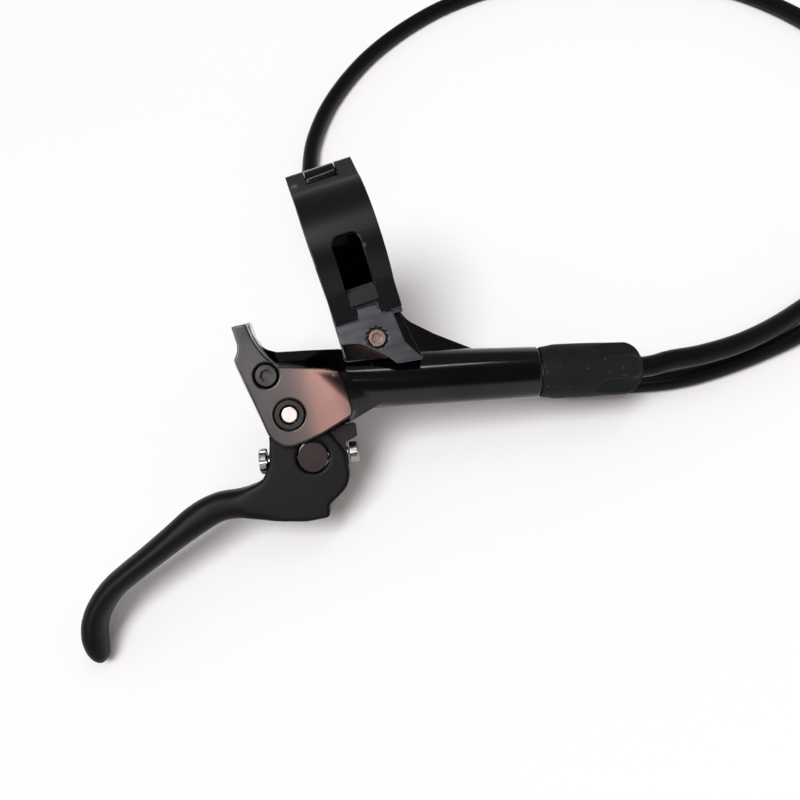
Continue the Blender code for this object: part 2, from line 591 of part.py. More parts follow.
def build_fasteners(b):
    """Hinge pin and clamp bolt."""
    half = CLAMP_WIDTH / 2 - GAP
    b.peg("hinge_pin", HINGE_PIN_RADIUS, -half, half, along_bar(HINGE_V), "steel", b.clamp)
    seat = BOLT_SEAT_W + GAP
    head = seat + BOLT_HEAD_HEIGHT
    bolt = b.turned("clamp_bolt", [(0, head), (BOLT_HEAD_RADIUS - 0.3 * MM, head), (BOLT_HEAD_RADIUS, head - 0.3 * MM),
                                   (BOLT_HEAD_RADIUS, seat), (BOLT_RADIUS, seat), (BOLT_RADIUS, 0.3 * MM - BOLT_DEPTH),
                                   (BOLT_RADIUS - 0.3 * MM, -BOLT_DEPTH), (0, -BOLT_DEPTH)], at(BOLT_U, BOLT_V), "steel")
    b.cut(bolt, b.peg("bolt_socket", BOLT_SOCKET_RADIUS, head - 1.1 * MM, head + MM, at(BOLT_U, BOLT_V), steps=6))


def build_axle(b):
    """Axle, its two bushes in the cheeks and the clip below."""
    place = at(PIVOT_U, PIVOT_V)
    top = MID_W + YOKE_HALF
    bottom = MID_W - YOKE_HALF
    groove_top = bottom - GAP
    groove_bottom = groove_top - CLIP_THICKNESS - 2 * GAP
    groove_radius = AXLE_RADIUS - 0.65 * MM
    b.turned("lever_axle", [(0, top), (AXLE_RADIUS - 0.2 * MM, top), (AXLE_RADIUS, top - 0.2 * MM),
                            (AXLE_RADIUS, groove_top), (groove_radius, groove_top), (groove_radius, groove_bottom),
                            (AXLE_RADIUS, groove_bottom), (AXLE_RADIUS, groove_bottom - 0.9 * MM),
                            (0, groove_bottom - 0.9 * MM)], place, "steel", steps=32)
    for name, low, high in (("axle_bush_upper", MID_W + POCKET_HALF + GAP, top + 0.1 * MM),
                            ("axle_bush_lower", bottom, MID_W - POCKET_HALF - GAP)):
        b.ring(name, AXLE_RADIUS + GAP, BUSH_RADIUS, low, high, place, "graphite", steps=32)
    mouth = math.radians(28)
    outer = circle(PIVOT_U, PIVOT_V, CLIP_RADIUS, mouth, math.tau - mouth, 24)
    inner = circle(PIVOT_U, PIVOT_V, groove_radius + GAP, math.tau - 1.4 * mouth, 1.4 * mouth, 24)
    clip_top = groove_top - GAP
    b.prism("axle_clip", outer + inner, clip_top - CLIP_THICKNESS, clip_top, "steel")


def build_bleed_screw(b):
    place = at(BLEED_U, BLEED_V)
    top = MID_W + YOKE_HALF - 0.1 * MM
    floor = MID_W + YOKE_HALF - BLEED_DEPTH
    shoulder = top - 1.6 * MM
    stem = BLEED_RADIUS - 1.1 * MM
    bleed = b.turned("bleed_screw", [(0, top), (BLEED_RADIUS - 0.3 * MM, top), (BLEED_RADIUS, top - 0.3 * MM),
                                     (BLEED_RADIUS, shoulder), (stem, shoulder), (stem, floor), (0, floor)],
                     place, "graphite", steps=32)
    b.cut(bleed, b.peg("bleed_socket", BLEED_SOCKET_RADIUS, top - 1.4 * MM, top + MM, place, steps=6))
    ring_radius = 0.35 * MM
    middle = stem + GAP + ring_radius
    height = shoulder - GAP - ring_radius
    b.turned("bleed_o_ring", [(middle + ring_radius * math.cos(a), height - ring_radius * math.sin(a))
                              for a in angles(0, math.tau, 8)[:-1]], place, "rubber")


def build_piston_group(b):
    """Push rod, circlip, piston with its cups, and the return spring."""
    frame = cylinder_frame()
    head = NOSE_LEAD + NOSE_RADIUS + GAP
    neck = head + ROD_HEAD_THICKNESS
    b.turned("push_rod", [(0, ROD_END), (ROD_RADIUS - 0.6 * MM, ROD_END), (ROD_RADIUS, ROD_END - 0.6 * MM),
                          (ROD_RADIUS, neck), (ROD_HEAD_RADIUS, neck), (ROD_HEAD_RADIUS, head), (0, head)],
             frame, "steel")
    b.ring("piston_circlip", CIRCLIP_INNER, BORE_RADIUS + CIRCLIP_BITE - 0.1 * MM, CIRCLIP_START,
           CIRCLIP_START + CIRCLIP_THICKNESS, frame, "steel", steps=32)
    front = PISTON_START + PISTON_LENGTH
    recess = ROD_RADIUS + GAP
    floor = ROD_END + GAP
    grooves = []
    for start in (PRIMARY_CUP_START, SECONDARY_CUP_START):
        end = start + CUP_LENGTH + 2 * GAP
        grooves += [(PISTON_RADIUS, end), (WAIST_RADIUS, end), (WAIST_RADIUS, start), (PISTON_RADIUS, start)]
    b.turned("piston", [(0, front), (PISTON_RADIUS, front)] + grooves
             + [(PISTON_RADIUS, PISTON_START), (recess, PISTON_START), (recess, floor), (0, floor)],
             frame, "steel", steps=32)
    for name, start in (("primary_cup", PRIMARY_CUP_START), ("secondary_cup", SECONDARY_CUP_START)):
        b.ring(name, WAIST_RADIUS + GAP, BORE_RADIUS - 0.2 * MM, start + GAP, start + GAP + CUP_LENGTH, frame,
               "rubber", steps=32)
    build_spring(b, front + GAP + SPRING_WIRE, BORE_END - GAP - SPRING_WIRE, frame)


def build_spring(b, start, end, frame):
    curve = bpy.data.curves.new("return_spring", "CURVE")
    curve.dimensions = "3D"
    curve.bevel_depth = SPRING_WIRE
    curve.bevel_resolution = 1
    curve.use_fill_caps = True
    spline = curve.splines.new("POLY")
    count = SPRING_TURNS * 14
    spline.points.add(count)
    for k, point in enumerate(spline.points):
        turn = math.tau * SPRING_TURNS * k / count
        point.co = (SPRING_RADIUS * math.cos(turn), SPRING_RADIUS * math.sin(turn),
                    start + (end - start) * k / count, 1)
    b.add("return_spring", mesh_of_curve("return_spring", curve), frame, b.lever, "steel")


def build_carrier(b):
    """The inner lever: it turns on the axle, pushes the rod and holds the adjuster's screw."""
    low, high = MID_W - CARRIER_HALF, MID_W + CARRIER_HALF
    carrier = b.prism("lever_carrier", filleted(CARRIER_OUTLINE), low, high, "satin_black")
    b.cut(carrier, b.peg("carrier_axle_space", AXLE_RADIUS + GAP, low - MM, high + MM, at(PIVOT_U, PIVOT_V), steps=32))
    room = BARREL_RADIUS + BARREL_TRAVEL + GAP
    below = 3 * BARREL_RADIUS
    frame = at(BARREL_U, BARREL_V) @ Matrix.Rotation(SCREW_TILT, 4, "Z")
    top = circle(0, -0.4 * BARREL_TRAVEL, room, 0, math.pi, 12)
    b.cut(carrier, b.prism("barrel_window", top + [(-room, -below), (room, -below)], low - MM, high + MM, place=frame))
    b.cut(carrier, b.peg("carrier_screw_space", SCREW_RADIUS + GAP, -20 * MM, 20 * MM, screw_frame()))
    move_origin(carrier, at(PIVOT_U, PIVOT_V, MID_W))


def superellipse(half_width, half_height, squareness, count=28):
    """Points (across, height) of a rounded section."""
    section = []
    for a in angles(0, math.tau, count)[:-1]:
        c, s = math.cos(a), math.sin(a)
        section.append((math.copysign(abs(c) ** (2 / squareness), c) * half_width,
                        math.copysign(abs(s) ** (2 / squareness), s) * half_height))
    return section


def blade_rings():
    """The finger part's sections, each square to the path through its neighbours."""
    rings = []
    for i, (u, v, half_width, half_height, squareness) in enumerate(BLADE_STATIONS):
        before, after = BLADE_STATIONS[max(i - 1, 0)], BLADE_STATIONS[min(i + 1, len(BLADE_STATIONS) - 1)]
        along = Vector((after[0] - before[0], after[1] - before[1])).normalized()
        rings.append([Vector((u - along.y * a, v + along.x * a, h)) * MM + Vector((0, 0, MID_W))
                      for a, h in superellipse(half_width, half_height, squareness)])
    return rings


def build_blade(b):
    """The two-finger blade: forked head on the axle and the rounded finger part."""
    low, high = MID_W - BLADE_HALF, MID_W + BLADE_HALF
    blade = b.prism("lever_blade", filleted(HEAD_OUTLINE, 6), low, high, "satin_black")
    bevel = blade.modifiers.new("round_edges", "BEVEL")
    bevel.width = 0.5 * MM
    bevel.segments = 2
    bevel.limit_method = "ANGLE"
    bevel.angle_limit = math.radians(50)
    b.join(blade, b.peg("cheek_form", CHEEK_RADIUS, low, high, at(PIVOT_U, PIVOT_V), steps=36))
    b.join(blade, b.add("finger_form", lofted_mesh("finger_form", blade_rings()), Matrix(), b.lever))
    b.cut(blade, b.prism("carrier_slot", filleted(SLOT_OUTLINE), MID_W - SLOT_HALF, MID_W + SLOT_HALF))
    b.cut(blade, b.peg("blade_axle_space", AXLE_RADIUS + GAP, low - MM, high + MM, at(PIVOT_U, PIVOT_V), steps=32))
    b.cut(blade, b.peg("barrel_space", BARREL_RADIUS + GAP, low - MM, high + MM, at(BARREL_U, BARREL_V), steps=32))
    b.cut(blade, b.peg("knob_space", KNOB_RADIUS + KNOB_ROOM, -KNOB_START - 3 * KNOB_LENGTH,
                       -KNOB_START + GAP + KNOB_ROOM, screw_frame(), steps=32))
    move_origin(blade, at(PIVOT_U, PIVOT_V, MID_W))


def build_adjuster(b):
    """Barrel pin in the blade, and the screw through it with its knob and collar."""
    high = MID_W + BLADE_HALF + 0.1 * MM
    low = MID_W - BLADE_HALF - 0.1 * MM
    barrel = b.peg("barrel_pin", BARREL_RADIUS, low, high, at(BARREL_U, BARREL_V), "graphite", steps=32)
    b.cut(barrel, b.peg("barrel_screw_space", SCREW_RADIUS + SCREW_SIDE_ROOM, -20 * MM, 20 * MM, screw_frame()))
    face = -KNOB_START - KNOB_LENGTH
    tip = COLLAR_START - GAP
    screw = b.turned("reach_screw", [(0, tip), (SCREW_RADIUS, tip), (SCREW_RADIUS, -KNOB_START),
                                     (KNOB_RADIUS - 0.3 * MM, -KNOB_START), (KNOB_RADIUS, -KNOB_START - 0.3 * MM),
                                     (KNOB_RADIUS, face + 0.4 * MM), (KNOB_RADIUS - 0.4 * MM, face), (0, face)],
                     screw_frame(), "steel", steps=32)
    for k in range(KNOB_FLUTES):
        place = screw_frame() @ Matrix.Rotation(math.tau * k / KNOB_FLUTES, 4, "Z") @ at(KNOB_RADIUS + 0.35 * MM, 0)
        b.cut(screw, b.peg(f"knob_flute_{k}", 0.75 * MM, face - MM, 0.3 * MM - KNOB_START, place, steps=12))
    b.cut(screw, b.peg("knob_socket", 1.1 * MM, face - MM, face + 1.1 * MM, screw_frame(), steps=6))
    end = COLLAR_START + COLLAR_LENGTH
    b.turned("reach_collar", [(0, end), (COLLAR_RADIUS - 0.4 * MM, end), (COLLAR_RADIUS, end - 0.4 * MM),
                              (COLLAR_RADIUS, COLLAR_START), (0, COLLAR_START)], screw_frame(), "steel", steps=32)


def build_hose_end(b):
    """Insert, olive and nut that grip the hose in the cylinder, and the rubber boot over them."""
    frame = cylinder_frame()
    hose_bore = HOSE_RADIUS + GAP
    insert = NUT_SEAT + GAP
    b.turned("hose_insert", [(HOSE_RADIUS - MM, HOSE_START - GAP), (HOSE_RADIUS - MM, insert + 0.8 * MM),
                             (HOSE_RADIUS, insert + 0.8 * MM), (HOSE_RADIUS, insert), (0.7 * MM, insert),
                             (0.7 * MM, HOSE_START - GAP)], frame, "steel")
    olive = HOSE_START + 0.5 * MM
    olive_end = NUT_START - GAP
    b.turned("hose_olive", [(hose_bore + 0.4 * MM, olive_end), (hose_bore + MM, (olive + olive_end) / 2),
                            (hose_bore + 0.4 * MM, olive), (hose_bore, olive), (hose_bore, olive_end)], frame, "steel")
    face = TUBE_END + GAP
    end = face + NUT_HEAD_LENGTH
    nut = b.turned("hose_nut", [(NUT_HEAD_RADIUS, end), (NUT_HEAD_RADIUS, face), (NUT_RADIUS, face),
                                (NUT_RADIUS, NUT_START), (hose_bore, NUT_START), (hose_bore, end)], frame, "steel")
    flats = NUT_HEAD_RADIUS * 0.96
    b.cut(nut, b.turned("nut_flats", [(2 * flats, end + MM), (2 * flats, face + 0.2 * MM), (flats, face + 0.2 * MM),
                                      (flats, end + MM)], frame, steps=6))
    boot_end = face + BOOT_LENGTH
    room = NUT_HEAD_RADIUS + GAP
    b.turned("hose_boot", [(hose_bore + 1.4 * MM, boot_end), (BOOT_END_RADIUS - 0.3 * MM, boot_end - 0.8 * MM),
                           (BOOT_END_RADIUS, boot_end - 2.4 * MM), (BOOT_RADIUS - 0.4 * MM, boot_end - 6.5 * MM),
                           (BOOT_RADIUS + 0.1 * MM, boot_end - 10 * MM), (BOOT_RADIUS + 0.1 * MM, boot_end - 15 * MM),
                           (BOOT_RADIUS, face + 0.5 * MM), (BOOT_RADIUS - 0.4 * MM, face), (room, face),
                           (room, end + GAP), (hose_bore, end + GAP), (hose_bore, boot_end)], frame, "rubber",
             steps=ROUND)


def smooth_path(points, spacing):
    """Points a given spacing apart on a Catmull-Rom curve through the given ones."""
    ends = [points[0] * 2 - points[1]] + points + [points[-1] * 2 - points[-2]]
    fine = []
    for before, start, end, after in zip(ends, ends[1:], ends[2:], ends[3:]):
        for t in (k / 12 for k in range(12)):
            fine.append(0.5 * (2 * start + (end - before) * t + (2 * before - 5 * start + 4 * end - after) * t * t
                               + (3 * start - before - 3 * end + after) * t ** 3))
    fine.append(points[-1])
    total = sum((b - a).length for a, b in zip(fine, fine[1:]))
    count = round(total / spacing)
    path, walked, target = [fine[0]], 0.0, total / count
    for a, b in zip(fine, fine[1:]):
        step = (b - a).length
        while walked + step >= target and len(path) < count:
            path.append(a.lerp(b, (target - walked) / step))
            target += total / count
        walked += step
    return path + [fine[-1]]


def build_hose(b):
    """The free hose: out of the nut along the cylinder, then round its loop on the surface."""
    bpy.context.view_layer.update()
    axis = b.lever.matrix_world @ cylinder_frame()
    straight = [axis @ Vector((0, 0, along)) for along in (HOSE_START, NUT_START + 4 * MM, TUBE_END + BOOT_LENGTH)]
    path = smooth_path(straight + [Vector(place) * MM for place in HOSE_ROUTE], HOSE_SPACING)
    curve = bpy.data.curves.new("brake_hose", "CURVE")
    curve.dimensions = "3D"
    curve.bevel_depth = HOSE_RADIUS
    curve.bevel_resolution = 2
    curve.use_fill_caps = True
    spline = curve.splines.new("POLY")
    spline.points.add(len(path) - 1)
    for point, place in zip(spline.points, path):
        point.co = (*place, 1)
    hose = bpy.data.objects.new("brake_hose", curve)
    curve.materials.append(b.finishes["hose_black"])
    b.parts.objects.link(hose)
    build_far_end(b, path[-1], (path[-1] - path[-2]).normalized())


def build_far_end(b, end, heading):
    """Crimped ferrule and banjo eye, lying flat beyond the hose's end."""
    level = Vector((heading.x, heading.y, 0)).normalized()
    place = Matrix.Translation(end) @ level.to_track_quat("Z", "X").to_matrix().to_4x4()
    inner = FERRULE_LENGTH + GAP
    b.turned("hose_ferrule", [(0, inner), (FERRULE_RADIUS - 0.5 * MM, inner), (FERRULE_RADIUS, inner - 0.5 * MM),
                              (FERRULE_RADIUS, 0.6 * inner), (FERRULE_RADIUS - 0.4 * MM, 0.56 * inner),
                              (FERRULE_RADIUS - 0.4 * MM, 0.44 * inner), (FERRULE_RADIUS, 0.4 * inner),
                              (FERRULE_RADIUS, GAP), (0, GAP)], place, "graphite", b.frame("far_end"))
    eye_at = end + level * (inner + GAP + 4 * MM + BANJO_RADIUS)
    half = BANJO_THICKNESS / 2
    flat = Matrix.Translation(eye_at)
    holder = b.frame("banjo_end")
    eye = b.peg("banjo_fitting", BANJO_RADIUS, -half, half, flat, "graphite", holder, 36)
    stem = b.peg("banjo_stem_form", 0.8 * half, inner + GAP, inner + 6 * MM, place, parent=holder)
    b.join(eye, stem)
    b.cut(eye, b.peg("banjo_bore", BANJO_BORE, -BANJO_THICKNESS, BANJO_THICKNESS, flat, parent=holder, steps=28))


def settle(b):
    """Bakes the modifiers of each piece and shades it smooth up to its sharp edges."""
    bpy.context.view_layer.update()
    graph = bpy.context.evaluated_depsgraph_get()
    pieces = [obj for obj in b.parts.objects if obj.type == "MESH"]
    meshes = [bpy.data.meshes.new_from_object(obj.evaluated_get(graph)) for obj in pieces]
    for obj, mesh in zip(pieces, meshes):
        obj.modifiers.clear()
        obj.data = mesh
        mesh.shade_smooth()
        mesh.set_sharp_from_angle(angle=math.radians(32))


def main():
    clear_scene()
    b = Builder()
    build_body(b)
    build_band(b)
    build_fasteners(b)
    build_axle(b)
    build_bleed_screw(b)
    build_piston_group(b)
    build_carrier(b)
    build_blade(b)
    build_adjuster(b)
    build_hose_end(b)
    build_hose(b)
    settle(b)


main()
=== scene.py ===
"""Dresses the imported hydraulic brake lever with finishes, a rubber boot and a hose, on a pale floor."""
import json
import math

import bmesh
import bpy
import numpy as np
from bpy.props import FloatProperty, FloatVectorProperty, IntProperty, PointerProperty
from mathutils import Matrix, Vector

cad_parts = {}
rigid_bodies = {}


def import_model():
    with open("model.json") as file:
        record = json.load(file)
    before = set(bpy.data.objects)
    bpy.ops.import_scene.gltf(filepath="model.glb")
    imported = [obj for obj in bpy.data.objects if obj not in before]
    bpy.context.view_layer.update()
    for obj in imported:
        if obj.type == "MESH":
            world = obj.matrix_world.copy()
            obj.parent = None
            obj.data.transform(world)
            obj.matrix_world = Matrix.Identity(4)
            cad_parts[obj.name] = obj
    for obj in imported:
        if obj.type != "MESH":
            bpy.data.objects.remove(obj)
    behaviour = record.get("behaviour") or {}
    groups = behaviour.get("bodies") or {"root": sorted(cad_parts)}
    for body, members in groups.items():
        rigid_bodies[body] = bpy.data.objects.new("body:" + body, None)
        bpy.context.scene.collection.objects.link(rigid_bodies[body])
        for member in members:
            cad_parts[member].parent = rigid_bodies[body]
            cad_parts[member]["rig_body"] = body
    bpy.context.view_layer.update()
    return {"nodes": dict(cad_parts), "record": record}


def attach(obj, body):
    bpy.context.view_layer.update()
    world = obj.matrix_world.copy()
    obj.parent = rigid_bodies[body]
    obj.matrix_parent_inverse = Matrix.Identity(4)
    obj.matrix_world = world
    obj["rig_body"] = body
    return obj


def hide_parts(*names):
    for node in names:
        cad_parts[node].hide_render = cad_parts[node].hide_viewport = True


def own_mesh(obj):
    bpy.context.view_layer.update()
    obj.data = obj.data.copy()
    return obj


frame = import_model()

bl_info = {
    "name": "Hydraulic brake lever",
    "version": (1, 0, 0),
    "blender": (4, 5, 0),
    "location": "3D View > Sidebar > Brake lever",
    "description": "Dresses a bicycle's hydraulic brake lever and its hose",
    "category": "Object",
}

MM = 0.001

# The clamp's slope on the bar, and the lever's lean against the clamp
CLAMP_SLOPE = math.radians(35)
LEVER_TURN = math.radians(-3)
TO_CLAMP = Matrix.Rotation(CLAMP_SLOPE, 3, "X")
TO_LEVER = TO_CLAMP @ Matrix.Rotation(LEVER_TURN, 3, "Z")
OUT_OF_CLAMP = TO_CLAMP @ Vector((0, 0, 1))

# Centres of the turned finishes' rings, in millimetres in the lever's own frame
PIVOT = (-22.4, -34.9, 0.0)
BARREL = (-20.1, -45.8, -5.0)
BLEED = (-25.1, -24.9, 0.0)

# How the reach screw and the cylinder tilt in the lever's frame, and where the cylinder starts in the world
SCREW_TILT = math.radians(-9.8)
CYLINDER_TILT = math.radians(-13)
CYLINDER_FOOT = Vector((-22.217, -19.067, -19.455)) * MM

# The plate below the band, in millimetres in the clamp's frame
PLATE_LIMIT_V = -18.2
NECK_LIMIT_V = -15.6
NECK_SIDES_U = (-2.2, 3.7)
PLATE_UNDERSIDE_W = 0.2
PLATE_TOP_W = 4.03

# The hose's start along the cylinder, then its route in world millimetres, round the loop to its far end
HOSE_STRAIGHT = (52.5, 59.9, 83.3)
HOSE_REST_Z = -46.5
HOSE_ROUTE = [
    (66.5, -38.2, -33.9), (75.5, -38.4, -36.0), (88.0, -37.2, -38.5), (102.5, -33.5, -41.0),
    (122.0, -25.8, -43.9), (143.0, -12.8, -46.0), (159.5, 3.0, HOSE_REST_Z), (171.0, 24.5, HOSE_REST_Z),
    (176.7, 47.5, HOSE_REST_Z), (175.8, 70.5, HOSE_REST_Z), (168.6, 92.6, HOSE_REST_Z),
    (156.2, 112.2, HOSE_REST_Z), (139.2, 128.6, HOSE_REST_Z), (118.6, 139.8, HOSE_REST_Z),
    (95.8, 145.4, HOSE_REST_Z), (72.5, 144.8, HOSE_REST_Z), (52.5, 138.7, HOSE_REST_Z),
    (34.1, 128.1, HOSE_REST_Z), (18.4, 113.3, HOSE_REST_Z), (8.0, 98.1, HOSE_REST_Z),
    (2.2, 83.7, HOSE_REST_Z), (-2.6, 62.0, HOSE_REST_Z), (-2.0, 38.0, HOSE_REST_Z),
    (5.5, 14.0, HOSE_REST_Z), (19.5, -7.0, HOSE_REST_Z), (39.0, -23.8, HOSE_REST_Z),
    (58.6, -33.2, HOSE_REST_Z), (76.8, -37.4, HOSE_REST_Z), (103.0, -36.2, HOSE_REST_Z),
    (127.0, -30.5, HOSE_REST_Z), (149.0, -18.0, HOSE_REST_Z), (166.5, 1.0, HOSE_REST_Z),
    (179.5, 23.0, HOSE_REST_Z), (189.0, 48.0, HOSE_REST_Z), (196.5, 76.0, HOSE_REST_Z),
    (201.0, 104.0, -46.1), (203.0, 128.0, -45.7)]
HOSE_STEP = 2.0 * MM
HOSE_SPAN_STEPS = 24
HOSE_CREASE = math.radians(60)

# The boot along the cylinder, in millimetres. It swells from its mouth, tapers a little, and rounds off over
# its shoulder. BOOT_CROWDING is the power that crowds its rings towards the tip.
BOOT_START, BOOT_END = 59.2, 83.6
BOOT_MOUTH_RADIUS, BOOT_RADIUS, BOOT_TIP_RADIUS = 6.0, 6.5, 3.3
BOOT_SWELL_RUN = 4.5
BOOT_TAPER, BOOT_TAPER_START, BOOT_TAPER_RUN = 0.22, 68, 12
BOOT_LIP, BOOT_LIP_RUN = 0.25, 0.5
BOOT_SHOULDER, SHOULDER_FALL, SHOULDER_FULLNESS = 79.8, 1.7, 0.75
BOOT_CROWDING = 1.35
BOOT_CREASE = math.radians(50)

# The boot's inside as (distance, radius): the hose's bore from the tip, then the hose nut's cavity
BOOT_BORE, BOOT_CAVITY, BOOT_CAVITY_END = 2.62, 4.9, 63.5
BOOT_INSIDE = [
    (BOOT_END - 0.05, BOOT_BORE + 0.25), (BOOT_END - 0.3, BOOT_BORE), (BOOT_CAVITY_END, BOOT_BORE),
    (BOOT_CAVITY_END, BOOT_CAVITY), (BOOT_START + 0.15, BOOT_CAVITY), (BOOT_START, BOOT_CAVITY + 0.2)]

# The boot's scoops, in millimetres; their depth is full at 1 / SCOOP_ONSET of their run, and SCOOP_FIRST is
# the least part of it that gives them a width
SCOOP_START, SCOOP_RUN, SCOOP_DEPTH = 70.6, 6.0, 1.5
SCOOP_ONSET = 1.5
SCOOP_FIRST = 1e-6
SCOOP_HALF = math.radians(23)
SCOOP_ANGLES = tuple(math.radians(a) for a in (42, 133, 222, 313))

# How finely the forged blade is rebuilt, how often it is evened out, and how far a point moves each time
BLADE_VOXEL = 0.3 * MM
BLADE_ROUNDS = 14
EVENING = 0.5

# Where the finger leaves the fork, in the lever's millimetres, and how it is evened out and eased there
NECK_U, NECK_REACH, NECK_ROUNDS = -38.0, 8.0, 160
NECK_FAINTEST = 0.01
EASE_RUN = 5.0

# The finger's stations in the lever's frame: u, v and half width, in millimetres
FINGER_STATIONS = [
    (-31.5, -53.2, 4.4), (-35.5, -52.5, 3.9), (-39.6, -51.7, 3.45), (-44.4, -51.2, 3.5),
    (-50.0, -52.5, 3.6), (-56.7, -55.3, 3.2), (-63.2, -58.1, 2.95), (-68.4, -60.3, 2.88),
    (-72.6, -62.3, 2.85), (-76.1, -65.0, 2.85), (-78.5, -67.9, 2.86), (-79.8, -70.9, 2.8),
    (-80.2, -73.6, 2.65), (-80.1, -76.0, 2.2), (-79.8, -77.6, 1.5), (-79.6, -78.5, 0.5)]

# The camera, worked out from the photograph's perspective, and how near and far it sees, in metres
CAMERA_PLACE = Vector((-9.92, -142.56, 144.57)) * MM
CAMERA_RIGHT = Vector((0.9454, -0.2961, -0.1360))
CAMERA_BACK = Vector((-0.0536, -0.5531, 0.8314))
CAMERA_NEAR, CAMERA_FAR = 0.005, 50.0
SENSOR_WIDTH = 36.0

# The floor of pale paper: its height, its half width in metres and its grid lines, and its faint clouds
FLOOR_Z = -49.02 * MM
FLOOR_REACH, FLOOR_LINES = 4, 9
PAPER_CLOUDS, PAPER_DARKER = 3.0, 0.985

# The way to the key light, and the small lamps round the stage's centre: name, setting of the power and its
# share, width and height and place in metres, and colour
KEY_FROM = (-0.42, -0.5, 1.5)
STAGE_CENTRE = Vector((60, 10, -40)) * MM
SMALL_LAMPS = (
    ("strip_lamp", "strip_power", 1.0, 1.3, 0.05, (0.1, -0.12, 1.48), (1, 1, 1)),
    ("warm_card", "card_power", 1.0, 0.052, 0.17, (-0.098, -0.605, 0.85), (1.0, 0.55, 0.46)),
    ("dim_card", "card_power", 0.4, 0.1, 0.2, (-0.178, -0.6, 0.85), (1.0, 0.96, 0.95)),
)

# The world's light: from the horizon's to the ceiling's as a direction rises, and to the dark front's as the
# cosine between it and the way out of the clamp grows
HORIZON_LIGHT, CEILING_LIGHT = (0.93, 0.93, 0.93, 1), (0.3, 0.3, 0.3, 1)
HORIZON_RISE, CEILING_RISE = 0.08, 0.35
FRONT_LIGHT = (0.15, 0.15, 0.155, 1)
FRONT_START, FRONT_FULL = 0.62, 0.9

# Where a speck of dust stops being solid and where it ends, across its cell
SPECK_CORE, SPECK_END = 0.12, 0.3
# The noise at which a finish has its dark tone and its light one, and these tones against its colour
CLOUD_LOW, CLOUD_HIGH = 0.35, 0.65
DARK_TONE, LIGHT_TONE = 0.82, 1.2
# The cosine between rounded and flat normal where an edge starts and where it is full, and how a painted
# highlight lightens its colour there
EDGE_START, EDGE_FULL = 0.995, 0.86
HIGHLIGHT_SHARE, HIGHLIGHT_BRIGHTEST = 0.75, 0.85
# How grain and turned rings share the height, and how dust covers and roughens a finish
GRAIN_SHARE, RINGS_SHARE = 0.35, 0.65
DUST_COVER, DUST_ROUGHNESS = 0.7, 0.3
BUMP_STRENGTH = 0.6
SMOOTHEST = 0.05

SLOT_OF = {part["node"]: part["material_slot"] for part in frame["record"]["subparts"]}
# Each CAD node that gets a dressed copy, with the copy's name and finish
CAST = {
    "master_cylinder_body": ("body_casting", "casting_gloss"),
    "clamp_band": ("bar_band", "band_satin"),
    "hinge_pin": ("band_hinge_pin", "turned_dark"),
    "clamp_bolt": ("band_bolt", "worn_bolt"),
    "lever_axle": ("axle_rod", "axle_end"),
    "axle_bush_upper": ("bush_upper", "dark_bush"),
    "axle_bush_lower": ("bush_lower", "dark_bush"),
    "axle_clip": ("axle_ring", "turned_steel"),
    "bleed_screw": ("bleed_plug", "bleed_steel"),
    "lever_carrier": ("carrier_arm", "band_satin"),
    "lever_blade": ("finger_blade", "blade_black"),
    "barrel_pin": ("barrel_nut", "barrel_steel"),
    "reach_screw": ("reach_spindle", "screw_steel"),
    "reach_collar": ("reach_stop", "screw_steel"),
    "hose_nut": ("hose_nut_turned", "turned_steel"),
    "return_spring": ("coil_spring", "turned_steel"),
    "hose_ferrule": ("crimped_ferrule", "turned_dark"),
    "banjo_fitting": ("banjo_end", "turned_dark"),
}
# The CAD nodes that keep their own meshes inside the cylinder, with their finishes
INSIDE = {
    "bleed_o_ring": "boot_rubber", "primary_cup": "boot_rubber", "secondary_cup": "boot_rubber",
    "push_rod": "turned_steel", "piston_circlip": "turned_steel", "piston": "turned_steel",
    "hose_insert": "turned_steel", "hose_olive": "turned_steel",
}


class LeverSizes(bpy.types.PropertyGroup):
    """Sizes that a user may change without moving anything off the frame."""
    sharp_angle: FloatProperty(name="Sharp angle", description="Edges steeper than this stay crisp",
                               default=math.radians(34), subtype="ANGLE")
    merge: FloatProperty(name="Merge distance", description="Corners closer than this are joined",
                         default=0.002 * MM, unit="LENGTH", precision=6)
    hose_diameter: FloatProperty(name="Hose diameter", description="Outside diameter of the hose",
                                 default=5 * MM, unit="LENGTH", precision=5)
    hose_sides: IntProperty(name="Hose sides", description="Faces round the hose", default=32, min=12)
    boot_sides: IntProperty(name="Boot sides", description="Faces round the boot", default=240, min=24)
    boot_rings: IntProperty(name="Boot rings", description="Rings along the boot's outside",
                            default=130, min=24)


